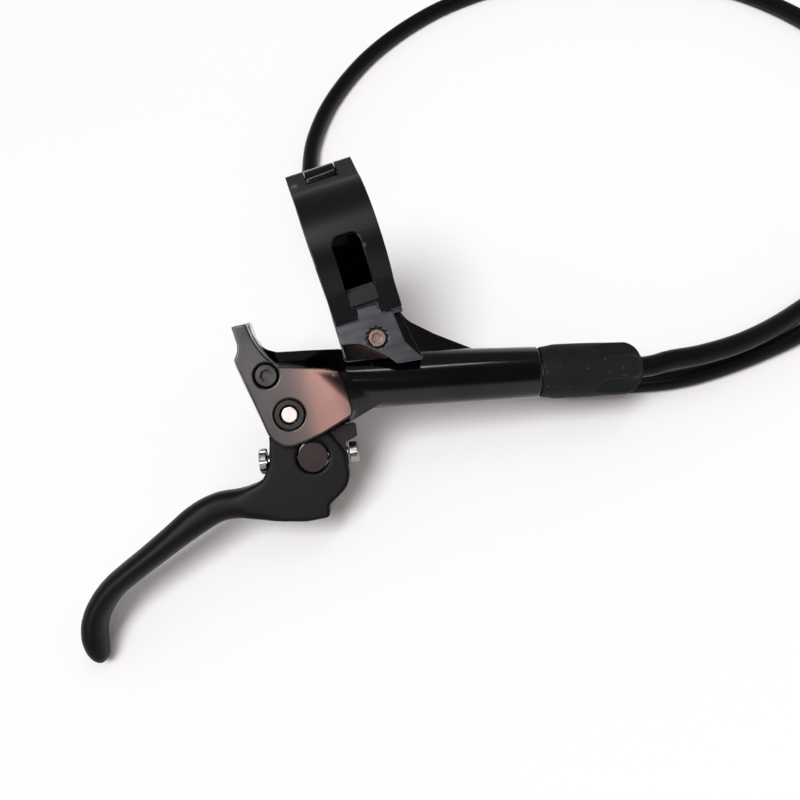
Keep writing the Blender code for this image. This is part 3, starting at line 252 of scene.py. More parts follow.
class LeverColours(bpy.types.PropertyGroup):
    """Base colours of the finishes, in linear light."""
    gloss_black: FloatVectorProperty(name="Gloss black", description="Anodised casting", subtype="COLOR",
                                     default=(0.032, 0.032, 0.033), size=3)
    satin_black: FloatVectorProperty(name="Satin black", description="Bar band and carrier", subtype="COLOR",
                                     default=(0.0042, 0.0048, 0.0052), size=3)
    blade_black: FloatVectorProperty(name="Blade black", description="Finger blade", subtype="COLOR",
                                     default=(0.0034, 0.0039, 0.0039), size=3)
    plate_grey: FloatVectorProperty(name="Plate grey", description="Machined plate", subtype="COLOR",
                                    default=(0.035, 0.04, 0.0465), size=3)
    rubber: FloatVectorProperty(name="Rubber", description="Boot", subtype="COLOR",
                                default=(0.0055, 0.0062, 0.006), size=3)
    hose: FloatVectorProperty(name="Hose black", description="Outer skin of the hose", subtype="COLOR",
                              default=(0.003, 0.003, 0.0032), size=3)
    steel: FloatVectorProperty(name="Steel", description="Bright turned steel", subtype="COLOR",
                               default=(0.3, 0.295, 0.285), size=3)
    bolt: FloatVectorProperty(name="Bolt", description="Worn steel of the clamp bolt", subtype="COLOR",
                              default=(0.11, 0.092, 0.082), size=3)
    dark_steel: FloatVectorProperty(name="Dark steel", description="Blackened turned steel", subtype="COLOR",
                                    default=(0.015, 0.0152, 0.0154), size=3)
    dust: FloatVectorProperty(name="Dust", description="Specks of dust", subtype="COLOR",
                              default=(0.13, 0.135, 0.12), size=3)


class StageLooks(bpy.types.PropertyGroup):
    """The floor, lamps and lens."""
    floor_colour: FloatVectorProperty(name="Floor", description="Colour of the floor", subtype="COLOR",
                                      default=(0.93, 0.93, 0.93), size=3)
    lens: FloatProperty(name="Lens", description="Focal length on a 36 mm sensor", default=39.0,
                        subtype="DISTANCE_CAMERA")
    key_strength: FloatProperty(name="Key strength", description="Strength of the soft key light",
                                default=2.2)
    key_angle: FloatProperty(name="Key angle", description="How wide the key light looks from the floor",
                             default=math.radians(26), subtype="ANGLE")
    strip_power: FloatProperty(name="Strip power", description="Power of the narrow lamp overhead",
                               default=3.0, unit="POWER")
    card_power: FloatProperty(name="Card power", description="Power of the small warm card", default=0.6,
                              unit="POWER")


def settings():
    """The three groups of settings, as the scene holds them."""
    scene = bpy.context.scene
    return scene.brake_sizes, scene.brake_colours, scene.brake_stage


# Node groups that several finishes share, and the finishes


class Nodes:
    """Adds nodes to one tree and feeds their sockets."""

    def __init__(self, tree):
        self.tree = tree

    def feed(self, node, inputs):
        """Links each of the node's sockets to another's output, or gives it a plain value."""
        for socket, value in inputs.items():
            if isinstance(value, bpy.types.NodeSocket):
                self.tree.links.new(value, node.inputs[socket])
            else:
                node.inputs[socket].default_value = value

    def add(self, kind, inputs=(), **values):
        """A new node with its settings, and its sockets fed."""
        node = self.tree.nodes.new(kind)
        for key, value in values.items():
            setattr(node, key, value)
        self.feed(node, dict(inputs))
        return node

    def group(self, label, inputs):
        """The outputs of a shared group, placed with its own values."""
        return self.add("ShaderNodeGroup", inputs, node_tree=bpy.data.node_groups[label]).outputs

    def math(self, operation, a, b=0.0, clamp=False):
        """The result of one calculation."""
        return self.add("ShaderNodeMath", {0: a, 1: b}, operation=operation, use_clamp=clamp).outputs[0]

    def mix(self, factor, a, b):
        """The colour between a and b."""
        return self.add("ShaderNodeMix", {0: factor, 6: a, 7: b}, data_type="RGBA").outputs[2]

    def ramp(self, value, start, end, low=0.0, high=1.0, kind="LINEAR"):
        """The value carried from start..end to low..high, and held there outside."""
        ends = {"Value": value, "From Min": start, "From Max": end, "To Min": low, "To Max": high}
        return self.add("ShaderNodeMapRange", ends, clamp=True, interpolation_type=kind).outputs[0]


def new_group(name, inputs, outputs):
    """A shader group with named sockets, given as (name, kind, default) and (name, kind), still empty."""
    group = bpy.data.node_groups.new(name, "ShaderNodeTree")
    for label, kind, default in inputs:
        socket = group.interface.new_socket(label, in_out="INPUT", socket_type="NodeSocket" + kind)
        if default is not None:
            socket.default_value = default
    for label, kind in outputs:
        group.interface.new_socket(label, in_out="OUTPUT", socket_type="NodeSocket" + kind)
    return Nodes(group), group.nodes.new("NodeGroupInput").outputs, group.nodes.new("NodeGroupOutput")


def build_groups():
    """Dust specks, fine grain, rounded edges and turning marks."""
    n, inside, out = new_group("dust_specks", [("Vector", "Vector", None), ("Scale", "Float", 700.0),
                                               ("Amount", "Float", 0.1)], [("Mask", "Float")])
    cells = n.add("ShaderNodeTexVoronoi", {"Vector": inside["Vector"], "Scale": inside["Scale"]},
                  feature="F1").outputs
    shape = n.ramp(cells["Distance"], SPECK_CORE, SPECK_END, 1.0, 0.0)
    pick = n.add("ShaderNodeSeparateColor", {"Color": cells["Color"]}).outputs[0]
    chosen = n.math("LESS_THAN", pick, inside["Amount"])
    n.feed(out, {"Mask": n.math("MULTIPLY", shape, chosen)})

    n, inside, out = new_group("fine_grain", [("Vector", "Vector", None), ("Scale", "Float", 3000.0),
                                              ("Cloud", "Float", 60.0)],
                               [("Grain", "Float"), ("Cloud", "Float")])
    fine = n.add("ShaderNodeTexNoise", {"Vector": inside["Vector"], "Scale": inside["Scale"], "Detail": 3.0,
                                        "Roughness": 0.6})
    wide = n.add("ShaderNodeTexNoise", {"Vector": inside["Vector"], "Scale": inside["Cloud"], "Detail": 4.0,
                                        "Roughness": 0.55})
    n.feed(out, {"Grain": fine.outputs[0], "Cloud": n.ramp(wide.outputs[0], CLOUD_LOW, CLOUD_HIGH)})

    n, inside, out = new_group("rounded_edges", [("Radius", "Float", 0.2 * MM)],
                               [("Normal", "Vector"), ("Edge", "Float")])
    rounded = n.add("ShaderNodeBevel", {"Radius": inside["Radius"]}, samples=8).outputs[0]
    facing = n.add("ShaderNodeNewGeometry").outputs["Normal"]
    alike = n.add("ShaderNodeVectorMath", {0: rounded, 1: facing}, operation="DOT_PRODUCT").outputs["Value"]
    n.feed(out, {"Normal": rounded, "Edge": n.ramp(alike, EDGE_START, EDGE_FULL)})

    n, inside, out = new_group("turning_marks", [("Vector", "Vector", None), ("Pitch", "Float", 900.0)],
                               [("Rings", "Float")])
    rings = n.add("ShaderNodeTexWave", {"Vector": inside["Vector"], "Scale": inside["Pitch"],
                                        "Distortion": 0.6, "Detail": 2.0, "Detail Scale": 1.5},
                  wave_type="RINGS", rings_direction="Z")
    n.feed(out, {"Rings": rings.outputs["Fac"]})


def about_axis(centre, axis):
    """Mapping values that put a pattern's origin at centre, with its z along axis."""
    turn = Vector(axis).to_track_quat("Z", "Y").inverted()
    return {"Location": -(turn @ Vector(centre)), "Rotation": turn.to_euler()}


def in_lever(place):
    """A place in the lever's frame, in millimetres, as a point in metres."""
    return TO_LEVER @ (Vector(place) * MM)


def toned(colour, by, limit=1.0):
    """The colour made lighter or darker, up to a limit, with full alpha."""
    return [min(limit, c * by) for c in colour] + [1]


def new_material(name):
    """A material, the nodes to add to it, and its principled shader."""
    material = bpy.data.materials.new(name)
    material.use_nodes = True
    return material, Nodes(material.node_tree), material.node_tree.nodes["Principled BSDF"]


def make_finish(name, colour, roughness, metallic=0.0, specular=0.5, grain=3000.0, cloud=60.0, bump=0.02,
                rough_spread=0.08, dust=0.0, dust_scale=700.0, edge=0.22, painted_edge_highlight=2.5, along=None,
                stretch=(1, 1, 1), pitch=0.0):
    """A principled finish: grain moves its bump and roughness, clouds its colour, dust lightens it, and a
    painted highlight lightens its edges.

    Bump and edge are in millimetres, along is a pattern's centre and axis, and pitch draws rings about them.
    """
    _, n, shader = new_material(name)
    place = n.add("ShaderNodeTexCoord").outputs["Object"]
    if along:
        place = n.add("ShaderNodeMapping", {"Vector": place, **about_axis(*along)}).outputs[0]
    streaks = n.add("ShaderNodeMapping", {"Vector": place, "Scale": stretch}).outputs[0]
    texture = n.group("fine_grain", {"Vector": streaks, "Scale": grain, "Cloud": cloud})
    edges = n.group("rounded_edges", {"Radius": edge * MM})
    height = texture["Grain"]
    if pitch:
        rings = n.group("turning_marks", {"Vector": place, "Pitch": pitch})["Rings"]
        height = n.math("ADD", n.math("MULTIPLY", height, GRAIN_SHARE),
                        n.math("MULTIPLY", rings, RINGS_SHARE))
    tone = n.mix(texture["Cloud"], toned(colour, DARK_TONE), toned(colour, LIGHT_TONE))
    # Painted highlight: along the edges the colour is mixed towards a lighter tone of itself, as if they
    # caught the light
    tone = n.mix(n.math("MULTIPLY", edges["Edge"], HIGHLIGHT_SHARE), tone,
                 toned(colour, painted_edge_highlight, HIGHLIGHT_BRIGHTEST))
    rough = n.math("ADD", n.math("MULTIPLY", n.math("SUBTRACT", height, 0.5), rough_spread), roughness)
    if dust:
        specks = n.group("dust_specks", {"Vector": place, "Scale": dust_scale, "Amount": dust})["Mask"]
        tone = n.mix(n.math("MULTIPLY", specks, DUST_COVER), tone, toned(settings()[1].dust, 1))
        rough = n.math("ADD", rough, n.math("MULTIPLY", specks, DUST_ROUGHNESS))
    relief = n.add("ShaderNodeBump", {"Height": height, "Strength": BUMP_STRENGTH, "Distance": bump * MM,
                                      "Normal": edges["Normal"]}).outputs[0]
    n.feed(shader, {"Base Color": tone, "Roughness": n.math("MAXIMUM", rough, SMOOTHEST, clamp=True),
                    "Normal": relief, "Metallic": metallic, "Specular IOR Level": specular})


def build_finishes():
    """Every finish of the lever, each with its own grain, dust and painted edge highlight."""
    colours = settings()[1]
    out = tuple(OUT_OF_CLAMP)
    screw = tuple(TO_LEVER @ Vector((math.cos(SCREW_TILT), math.sin(SCREW_TILT), 0)))
    along_u = tuple(TO_LEVER @ Vector((1, 0, 0)))
    make_finish("casting_gloss", colours.gloss_black, 0.11, metallic=1.0, grain=2400, cloud=45, bump=0.002,
                rough_spread=0.05, dust=0.012, dust_scale=420, edge=0.6, painted_edge_highlight=2.2)
    make_finish("band_satin", colours.satin_black, 0.36, specular=0.16, grain=5200, cloud=40, bump=0.006,
                dust=0.035, dust_scale=300, painted_edge_highlight=3.0)
    make_finish("blade_black", colours.blade_black, 0.43, specular=0.12, grain=4600, cloud=55, bump=0.012,
                rough_spread=0.12, dust=0.02, dust_scale=360, edge=0.3, painted_edge_highlight=2.2)
    make_finish("machined_plate", colours.plate_grey, 0.34, metallic=1.0, grain=2600, cloud=110, bump=0.006,
                rough_spread=0.2, edge=0.28, painted_edge_highlight=7.0, along=((0, 0, 0), along_u), stretch=(6, 6, 1))
    make_finish("boot_rubber", colours.rubber, 0.7, specular=0.16, grain=2800, cloud=90, bump=0.03,
                rough_spread=0.15, dust=0.07, dust_scale=1500, edge=0.15, painted_edge_highlight=1.6)
    make_finish("hose_skin", colours.hose, 0.32, specular=0.1, grain=5200, cloud=30, bump=0.004,
                rough_spread=0.1, dust=0.015, dust_scale=260, edge=0.1, painted_edge_highlight=1.2)
    make_finish("turned_steel", colours.steel, 0.3, metallic=1.0, grain=3500, bump=0.006, rough_spread=0.2)
    make_finish("turned_dark", colours.dark_steel, 0.34, metallic=0.9, grain=3500, bump=0.006,
                rough_spread=0.2, dust=0.02)
    make_finish("worn_bolt", colours.bolt, 0.3, metallic=1.0, grain=2600, cloud=900, bump=0.01,
                rough_spread=0.3, edge=0.12, painted_edge_highlight=3.0)
    make_finish("dark_bush", colours.blade_black, 0.3, specular=0.2, grain=3800, bump=0.006, painted_edge_highlight=4.0,
                along=(in_lever(PIVOT), out), pitch=2500)
    make_finish("axle_end", colours.steel, 0.3, metallic=1.0, grain=3500, bump=0.008, rough_spread=0.25,
                along=(in_lever(PIVOT), out), pitch=1100, painted_edge_highlight=1.3)
    make_finish("bleed_steel", colours.dark_steel, 0.3, metallic=0.7, grain=3500, bump=0.008,
                rough_spread=0.2, along=(in_lever(BLEED), out), pitch=2500, painted_edge_highlight=4.0)
    make_finish("barrel_steel", colours.dark_steel, 0.28, metallic=0.9, grain=3200, bump=0.002,
                rough_spread=0.15, along=(in_lever(BARREL), out), pitch=2500, painted_edge_highlight=4.0)
    make_finish("screw_steel", colours.steel, 0.26, metallic=1.0, grain=3500, bump=0.008, rough_spread=0.2,
                along=(in_lever(BARREL), screw), pitch=900, painted_edge_highlight=1.3)


# Meshes


def smooth_step(t):
    """0 before 0, 1 after 1, and 3t^2 - 2t^3 between."""
    t = np.clip(t, 0, 1)
    return t * t * (3 - 2 * t)


def catmull_rom(before, start, end, after, t):
    """The point at t between start and end on the Catmull-Rom curve through all four."""
    return 0.5 * (2 * start + (end - before) * t + (2 * before - 5 * start + 4 * end - after) * t ** 2
                  + (3 * start - before - 3 * end + after) * t ** 3)


def with_far_ends(points):
    """Points with one more beyond each end, a last step further on, for a Catmull-Rom curve through them."""
    return np.concatenate([[2 * points[0] - points[1]], points, [2 * points[-1] - points[-2]]])


def gathered(items, what, width=3, kind=float):
    """One property of a mesh's vertices, edges or faces, as an array with a row for each."""
    values = np.empty(len(items) * width, kind)
    items.foreach_get(what, values)
    return values.reshape(-1, width)


def put_on(piece, body, slot, *nodes):
    """Rides the piece on its CAD body and hides its nodes, so that it stands for them; its slot is not used.
    """
    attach(piece, body)
    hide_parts(*nodes)
    return piece


def grid_object(name, points, close_rows=False, close_columns=False):
    """A smooth mesh of quads over a grid of points, shaped (rows, columns, 3), closed either way if asked."""
    rows, columns = points.shape[:2]
    r = np.arange(rows if close_rows else rows - 1)
    c = np.arange(columns if close_columns else columns - 1)
    r0, c0 = np.meshgrid(r, c, indexing="ij")
    r1, c1 = (r0 + 1) % rows, (c0 + 1) % columns
    corners = [r0 * columns + c0, r0 * columns + c1, r1 * columns + c1, r1 * columns + c0]
    mesh = bpy.data.meshes.new(name)
    mesh.from_pydata(points.reshape(-1, 3).tolist(), [], np.stack(corners, -1).reshape(-1, 4).tolist())
    mesh.shade_smooth()
    piece = bpy.data.objects.new(name, mesh)
    bpy.context.scene.collection.objects.link(piece)
    return piece


def finished(piece, crease, finish, node):
    """Fills a new piece's open ends, turns its faces out, dresses it and puts it in its CAD node's place."""
    work = bmesh.new()
    work.from_mesh(piece.data)
    open_edges = [e for e in work.edges if e.is_boundary]
    if open_edges:
        bmesh.ops.holes_fill(work, edges=open_edges, sides=0)
    bmesh.ops.recalc_face_normals(work, faces=work.faces)
    work.to_mesh(piece.data)
    work.free()
    piece.data.set_sharp_from_angle(angle=crease)
    piece.data.materials.append(bpy.data.materials[finish])
    return put_on(piece, "master_cylinder", SLOT_OF[node], node)


def dressed(node):
    """A copy of a CAD node with its loose triangles joined, crisp edges marked and flat faces kept even."""
    sizes = settings()[0]
    name, finish = CAST[node]
    source = frame["nodes"][node]
    work = bmesh.new()
    work.from_mesh(source.data)
    bmesh.ops.remove_doubles(work, verts=work.verts, dist=sizes.merge)
    mesh = bpy.data.meshes.new(name)
    work.to_mesh(mesh)
    work.free()
    if "custom_normal" in mesh.attributes:
        mesh.attributes.remove(mesh.attributes["custom_normal"])
    mesh.shade_smooth()
    mesh.set_sharp_from_angle(angle=sizes.sharp_angle)
    mesh.materials.clear()
    mesh.materials.append(bpy.data.materials[finish])
    piece = bpy.data.objects.new(name, mesh)
    bpy.context.scene.collection.objects.link(piece)
    even = piece.modifiers.new("even_faces", "WEIGHTED_NORMAL")
    even.keep_sharp = True
    return put_on(piece, source["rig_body"], SLOT_OF[node], node)


def forged(piece, voxel, rounds):
    """Rebuilds a piece's mesh on a voxel grid and evens it out, so its edges turn round as a forging's do.

    Each round of smoothing moves every point by EVENING towards the mean of its edges' middles.
    """
    grid = piece.modifiers.new("grid", "REMESH")
    grid.mode = "VOXEL"
    grid.voxel_size = voxel
    even = piece.modifiers.new("rounding", "SMOOTH")
    even.factor = EVENING
    even.iterations = rounds
    piece.modifiers.remove(piece.modifiers["even_faces"])
    made = bpy.data.meshes.new_from_object(piece.evaluated_get(bpy.context.evaluated_depsgraph_get()))
    made.materials.clear()
    made.materials.append(piece.data.materials[0])
    piece.modifiers.clear()
    piece.data = made
    made.name = piece.name
    made.shade_smooth()
    return piece


def eased(points):
    """Blade points, in the lever's millimetres, moved off the straight runs between the finger's stations.

    A point nearest to the run at t moves by curve(t) - run(t), and its distance across is scaled by
    the eased half width over the straight one, so every station itself stays where it is. The easing
    comes in over the finger's first stretch.
    """
    ends = with_far_ends(np.array(FINGER_STATIONS))
    nearest = np.full(len(points), np.inf)
    move = np.zeros((len(points), 2))
    for before, start, end, after in zip(ends, ends[1:], ends[2:], ends[3:]):
        run = (end - start)[:2]
        t = np.clip((points[:, :2] - start[:2]) @ run / (run @ run), 0, 1)[:, None]
        straight = start + (end - start) * t
        curved = catmull_rom(before, start, end, after, t)
        across = points[:, :2] - straight[:, :2]
        shift = (curved - straight)[:, :2] + across * (curved[:, 2:] / straight[:, 2:] - 1)
        away = np.linalg.norm(across, axis=1)
        nearer = away < nearest
        nearest[nearer], move[nearer] = away[nearer], shift[nearer]
    fade = smooth_step((NECK_U - points[:, 0]) / EASE_RUN)[:, None]
    return np.concatenate([points[:, :2] + move * fade, points[:, 2:]], 1)


def evened(points, edges, weights, rounds):
    """Points p after rounds of p + w * EVENING * (m - p), where m is the mean of a point's edges' middles."""
    ends = edges.ravel()
    count = np.bincount(ends, minlength=len(points))
    for _ in range(rounds):
        middles = np.repeat(points[edges].mean(1), 2, axis=0)
        sums = np.stack([np.bincount(ends, way, len(points)) for way in middles.T], -1)
        points = points + weights[:, None] * EVENING * (sums / count[:, None] - points)
    return points


def shaped_finger(piece):
    """Eases the finger's outline, then evens out its neck most, as the photograph's forging flows there."""
    mesh = piece.data
    points = eased(gathered(mesh.vertices, "co") @ np.array(TO_LEVER) / MM)
    weights = smooth_step(1 - np.abs(points[:, 0] - NECK_U) / NECK_REACH)
    weights[weights <= NECK_FAINTEST] = 0
    points = evened(points, gathered(mesh.edges, "vertices", 2, np.int32), weights, NECK_ROUNDS)
    mesh.vertices.foreach_set("co", (points @ np.array(TO_LEVER).T * MM).ravel())
    mesh.update()


def paint_plate(piece):
    """Gives the band's foot the machined finish: its faces below the step, in the clamp's own frame."""
    piece.data.materials.append(bpy.data.materials["machined_plate"])
    u, v, w = (gathered(piece.data.polygons, "center") @ np.array(TO_CLAMP) / MM).T
    neck = (v < NECK_LIMIT_V) & (u > NECK_SIDES_U[0]) & (u < NECK_SIDES_U[1])
    plate = ((v < PLATE_LIMIT_V) | neck) & (w > PLATE_UNDERSIDE_W) & (w < PLATE_TOP_W)
    piece.data.polygons.foreach_set("material_index", plate.astype(np.int32))


def cylinder_axes():
    """The cylinder's direction, and two across it: to its side, and out of the clamp."""
    ahead = np.array(TO_LEVER @ Vector((math.cos(CYLINDER_TILT), math.sin(CYLINDER_TILT), 0)))
    out = np.array(OUT_OF_CLAMP)
    return ahead, np.cross(out, ahead), out


def boot_points(sizes):
    """The boot as a closed profile of (distance s, radius r) turned about the cylinder.

    Outside, r starts in a small lip, swells, tapers, and rounds off over the shoulder as a superellipse.
    Each scoop takes depth * (1 - (angle / half)^2) off it, where half grows with the root of s, so a
    scoop starts in a point and ends in a crisp edged dish. Its depth comes in as a smooth step, and
    goes with the root of what is left of the shoulder. Inside, the listed profile closes it.
    """
    t = np.linspace(0, 1, sizes.boot_rings)
    s = BOOT_START + (BOOT_END - BOOT_START) * (1 - (1 - t) ** BOOT_CROWDING)
    swell = smooth_step((s - BOOT_START) / BOOT_SWELL_RUN)
    taper = smooth_step((s - BOOT_TAPER_START) / BOOT_TAPER_RUN)
    body = BOOT_MOUTH_RADIUS + (BOOT_RADIUS - BOOT_MOUTH_RADIUS) * swell - BOOT_TAPER * taper
    rounding = np.clip((s - BOOT_SHOULDER) / (BOOT_END - BOOT_SHOULDER), 0, 1)
    outer = BOOT_TIP_RADIUS + (body - BOOT_TIP_RADIUS) * (1 - rounding ** SHOULDER_FALL) ** SHOULDER_FULLNESS
    outer = outer - BOOT_LIP * (1 - smooth_step((s - BOOT_START) / BOOT_LIP_RUN))
    angle = np.linspace(0, 2 * math.pi, sizes.boot_sides, endpoint=False)
    radius = np.repeat(outer[:, None], sizes.boot_sides, 1)
    run = np.clip((s - SCOOP_START) / SCOOP_RUN, 0, 1)[:, None]
    tip = np.sqrt((outer - BOOT_TIP_RADIUS) / (body - BOOT_TIP_RADIUS))[:, None]
    for middle in SCOOP_ANGLES:
        away = (angle - middle + math.pi) % (2 * math.pi) - math.pi
        across = np.clip(1 - (away / (SCOOP_HALF * np.sqrt(np.maximum(run, SCOOP_FIRST)))) ** 2, 0, 1)
        radius = radius - SCOOP_DEPTH * smooth_step(run * SCOOP_ONSET) * tip * across
    inner_s, inner_radius = np.array(BOOT_INSIDE).T
    s = np.concatenate([s, inner_s])
    radius = np.concatenate([radius, np.repeat(inner_radius[:, None], sizes.boot_sides, 1)])
    ahead, side, out = cylinder_axes()
    across = np.cos(angle)[:, None] * side + np.sin(angle)[:, None] * out
    return np.array(CYLINDER_FOOT) + MM * (s[:, None, None] * ahead + radius[:, :, None] * across[None])


def hose_path(step):
    """Points a step apart on a Catmull-Rom curve through the hose's route, as part.py lays it."""
    ahead = cylinder_axes()[0]
    straight = [np.array(CYLINDER_FOOT) + MM * s * ahead for s in HOSE_STRAIGHT]
    points = np.array(straight + [np.array(p) * MM for p in HOSE_ROUTE])
    ends = with_far_ends(points)
    t = np.linspace(0, 1, HOSE_SPAN_STEPS, endpoint=False)[None, :, None]
    before, start, end, after = (ends[k:len(ends) - 3 + k, None, :] for k in range(4))
    fine = np.concatenate([catmull_rom(before, start, end, after, t).reshape(-1, 3), points[-1:]])
    walked = np.concatenate([[0], np.cumsum(np.linalg.norm(np.diff(fine, axis=0), axis=1))])
    marks = np.linspace(0, walked[-1], round(walked[-1] / step) + 1)
    return np.stack([np.interp(marks, walked, fine[:, k]) for k in range(3)], -1)


def tube_points(path, radius, sides):
    """A circle of the radius carried along the path, square to it, as one ring for each of its points."""
    ahead = np.gradient(path, axis=0)
    ahead /= np.linalg.norm(ahead, axis=1)[:, None]
    side = np.cross(ahead, [0, 0, 1])
    side /= np.linalg.norm(side, axis=1)[:, None]
    up = np.cross(side, ahead)
    angle = np.linspace(0, 2 * math.pi, sides, endpoint=False)[None, :, None]
    return path[:, None] + radius * (np.cos(angle) * side[:, None] + np.sin(angle) * up[:, None])


# The stage


def lay_floor(looks):
    """A level sheet of pale paper, on a grid of equal squares."""
    span = np.linspace(-FLOOR_REACH, FLOOR_REACH, FLOOR_LINES)
    x, y = np.meshgrid(span, span, indexing="xy")
    floor = grid_object("studio_floor", np.stack([x, y, np.full_like(x, FLOOR_Z)], -1))
    material, n, shader = new_material("studio_paper")
    paper = n.add("ShaderNodeTexNoise", {"Vector": n.add("ShaderNodeTexCoord").outputs["Object"],
                                         "Scale": PAPER_CLOUDS, "Detail": 2.0})
    tone = n.mix(paper.outputs[0], toned(looks.floor_colour, PAPER_DARKER), toned(looks.floor_colour, 1))
    n.feed(shader, {"Base Color": tone, "Roughness": 0.9, "Specular IOR Level": 0.1})
    floor.data.materials.append(material)


def hang(lamp, way):
    """The lamp's object in the scene, turned to shine back along the way to it."""
    hung = bpy.data.objects.new(lamp.name, lamp)
    bpy.context.scene.collection.objects.link(hung)
    hung.rotation_mode = "QUATERNION"
    hung.rotation_quaternion = Vector(way).to_track_quat("Z", "Y")
    return hung


def hang_lamps(looks):
    """The wide soft key light, and the small lamps that draw bright lines on the casting."""
    key = bpy.data.lights.new("key_lamp", "SUN")
    key.energy, key.angle = looks.key_strength, looks.key_angle
    hang(key, KEY_FROM)
    for name, power, share, width, height, place, colour in SMALL_LAMPS:
        lamp = bpy.data.lights.new(name, "AREA")
        lamp.shape = "RECTANGLE"
        lamp.energy = getattr(looks, power) * share
        lamp.size, lamp.size_y, lamp.color = width, height, colour
        hang(lamp, place).location = STAGE_CENTRE + Vector(place)


def build_world():
    """Light from all round, dimmer overhead and dark where the clamp faces."""
    world = bpy.data.worlds.new("studio")
    bpy.context.scene.world = world
    world.use_nodes = True
    n = Nodes(world.node_tree)
    way = n.add("ShaderNodeTexCoord").outputs["Generated"]
    facing = n.add("ShaderNodeVectorMath", {0: way, 1: tuple(OUT_OF_CLAMP)}, operation="DOT_PRODUCT")
    front = n.ramp(facing.outputs["Value"], FRONT_START, FRONT_FULL, kind="SMOOTHSTEP")
    rise = n.add("ShaderNodeSeparateXYZ", {"Vector": way}).outputs[2]
    ceiling = n.ramp(rise, HORIZON_RISE, CEILING_RISE, kind="SMOOTHSTEP")
    room = n.mix(ceiling, HORIZON_LIGHT, CEILING_LIGHT)
    n.feed(world.node_tree.nodes["Background"], {"Color": n.mix(front, room, FRONT_LIGHT)})


def place_camera(looks):
    """The photograph's view, with the camera's right made square to its back."""
    camera = bpy.data.objects.new("photo_camera", bpy.data.cameras.new("photo_camera"))
    bpy.context.scene.collection.objects.link(camera)
    camera.data.lens, camera.data.sensor_width = looks.lens, SENSOR_WIDTH
    camera.data.clip_start, camera.data.clip_end = CAMERA_NEAR, CAMERA_FAR
    back = CAMERA_BACK.normalized()
    right = (CAMERA_RIGHT - CAMERA_RIGHT.dot(back) * back).normalized()
    turn = Matrix((right, back.cross(right), back)).transposed()
    camera.matrix_world = Matrix.Translation(CAMERA_PLACE) @ turn.to_4x4()
    bpy.context.scene.camera = camera


# Operators


class DressStep(bpy.types.Operator):
    """One step of dressing the lever: the CAD nodes named in its list get merged, finished copies."""
    nodes = ()

    def execute(self, context):
        for node in self.nodes:
            dressed(node)
        return {"FINISHED"}


class BRAKE_OT_finishes(bpy.types.Operator):
    """Make the shared node groups and every finish."""
    bl_idname = "brake.finishes"
    bl_label = "Finishes"

    def execute(self, context):
        build_groups()
        build_finishes()
        return {"FINISHED"}


class BRAKE_OT_stage(bpy.types.Operator):
    """Make the floor, the lamps, the world and the camera."""
    bl_idname = "brake.stage"
    bl_label = "Studio"

    def execute(self, context):
        looks = settings()[2]
        lay_floor(looks)
        hang_lamps(looks)
        build_world()
        place_camera(looks)
        context.scene.view_settings.view_transform = "Standard"
        return {"FINISHED"}


class BRAKE_OT_hose(DressStep):
    """Make the free hose, and dress the nut, ferrule and banjo that hold its ends."""
    bl_idname = "brake.hose"
    bl_label = "Hose"
    nodes = ("hose_nut", "hose_ferrule", "banjo_fitting")

    def execute(self, context):
        super().execute(context)
        sizes = settings()[0]
        path = hose_path(HOSE_STEP)
        points = tube_points(path, sizes.hose_diameter / 2, sizes.hose_sides)
        hose = finished(grid_object("free_hose", points, close_columns=True), HOSE_CREASE, "hose_skin",
                        "brake_hose")
        return {"FINISHED"}


class BRAKE_OT_boot(bpy.types.Operator):
    """Make the rubber boot with its four scoops."""
    bl_idname = "brake.boot"
    bl_label = "Boot"

    def execute(self, context):
        points = boot_points(settings()[0])
        finished(grid_object("rubber_boot", points, close_rows=True, close_columns=True), BOOT_CREASE,
                 "boot_rubber", "hose_boot")
        return {"FINISHED"}


class BRAKE_OT_casting(DressStep):
    """Dress the master cylinder's casting."""
    bl_idname = "brake.casting"
    bl_label = "Casting"
    nodes = ("master_cylinder_body",)


class BRAKE_OT_clamp(DressStep):
    """Dress the band, its hinge pin and its bolt, with the machined plate below the band."""
    bl_idname = "brake.clamp"
    bl_label = "Bar clamp"
    nodes = ("hinge_pin", "clamp_bolt")

    def execute(self, context):
        paint_plate(dressed("clamp_band"))
        return super().execute(context)


class BRAKE_OT_pivot(DressStep):
    """Dress the lever's axle, bushes and clip, and the bleed screw."""
    bl_idname = "brake.pivot"
    bl_label = "Axle and bleed screw"
    nodes = ("lever_axle", "axle_bush_upper", "axle_bush_lower", "axle_clip", "bleed_screw")


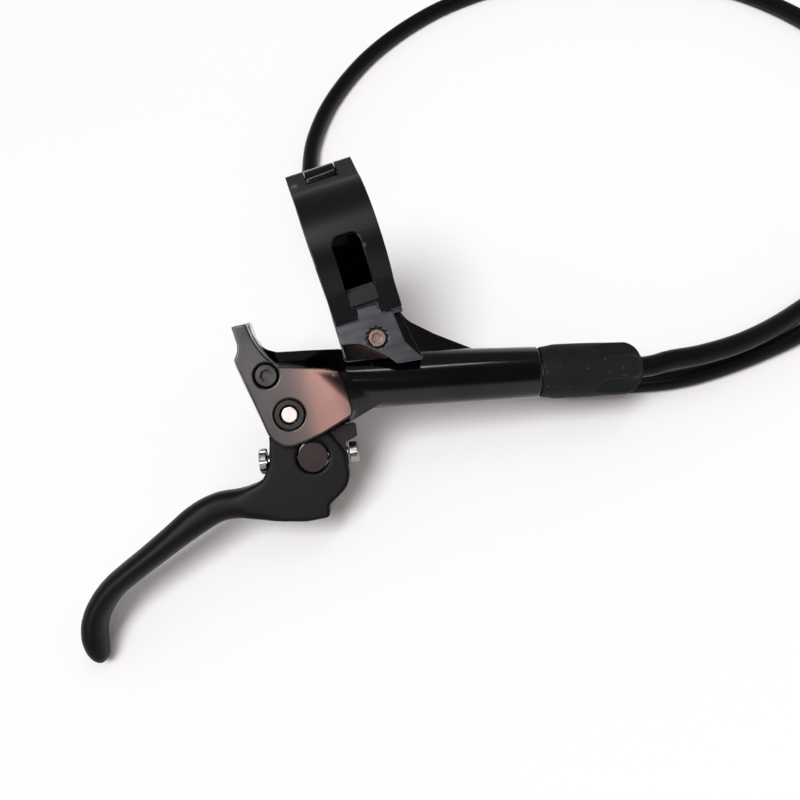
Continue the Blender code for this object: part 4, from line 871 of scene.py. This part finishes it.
class BRAKE_OT_lever(DressStep):
    """Dress the carrier, the blade and the reach adjuster."""
    bl_idname = "brake.lever"
    bl_label = "Lever"
    nodes = ("lever_carrier", "barrel_pin", "reach_screw", "reach_collar")

    def execute(self, context):
        shaped_finger(forged(dressed("lever_blade"), BLADE_VOXEL, BLADE_ROUNDS))
        return super().execute(context)


class BRAKE_OT_inside(bpy.types.Operator):
    """Give the parts inside the cylinder their finishes, and dress the spring."""
    bl_idname = "brake.inside"
    bl_label = "Inner parts"

    def execute(self, context):
        spring = dressed("return_spring")
        spring.modifiers.clear()
        ahead = cylinder_axes()[0]
        along = gathered(spring.data.vertices, "co") @ ahead
        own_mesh(spring)
        for node, finish in INSIDE.items():
            materials = frame["nodes"][node].data.materials
            materials.clear()
            materials.append(bpy.data.materials[finish])
        return {"FINISHED"}


class BRAKE_PT_lever(bpy.types.Panel):
    """Lists the steps and settings of the brake lever."""
    bl_idname = "BRAKE_PT_lever"
    bl_label = "Brake lever"
    bl_space_type = "VIEW_3D"
    bl_region_type = "UI"
    bl_category = "Brake lever"

    def draw(self, context):
        for step in STEPS:
            self.layout.operator(step.bl_idname)
        for group in settings():
            for name in group.__annotations__:
                self.layout.prop(group, name)


GROUPS = {"brake_sizes": LeverSizes, "brake_colours": LeverColours, "brake_stage": StageLooks}
STEPS = (BRAKE_OT_finishes, BRAKE_OT_stage, BRAKE_OT_hose, BRAKE_OT_boot, BRAKE_OT_casting, BRAKE_OT_clamp,
         BRAKE_OT_pivot, BRAKE_OT_lever, BRAKE_OT_inside)


def register():
    for kind in (*GROUPS.values(), *STEPS, BRAKE_PT_lever):
        bpy.utils.register_class(kind)
    for name, kind in GROUPS.items():
        setattr(bpy.types.Scene, name, PointerProperty(type=kind))


def unregister():
    for name in GROUPS:
        delattr(bpy.types.Scene, name)
    for kind in (BRAKE_PT_lever, *reversed(STEPS), *reversed(GROUPS.values())):
        bpy.utils.unregister_class(kind)


def main():
    """Registers the add-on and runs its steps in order."""
    register()
    bpy.ops.brake.finishes()
    bpy.ops.brake.stage()
    bpy.ops.brake.hose()
    bpy.ops.brake.boot()
    bpy.ops.brake.casting()
    bpy.ops.brake.clamp()
    bpy.ops.brake.pivot()
    bpy.ops.brake.lever()
    bpy.ops.brake.inside()


if __name__ == "__main__":
    main()
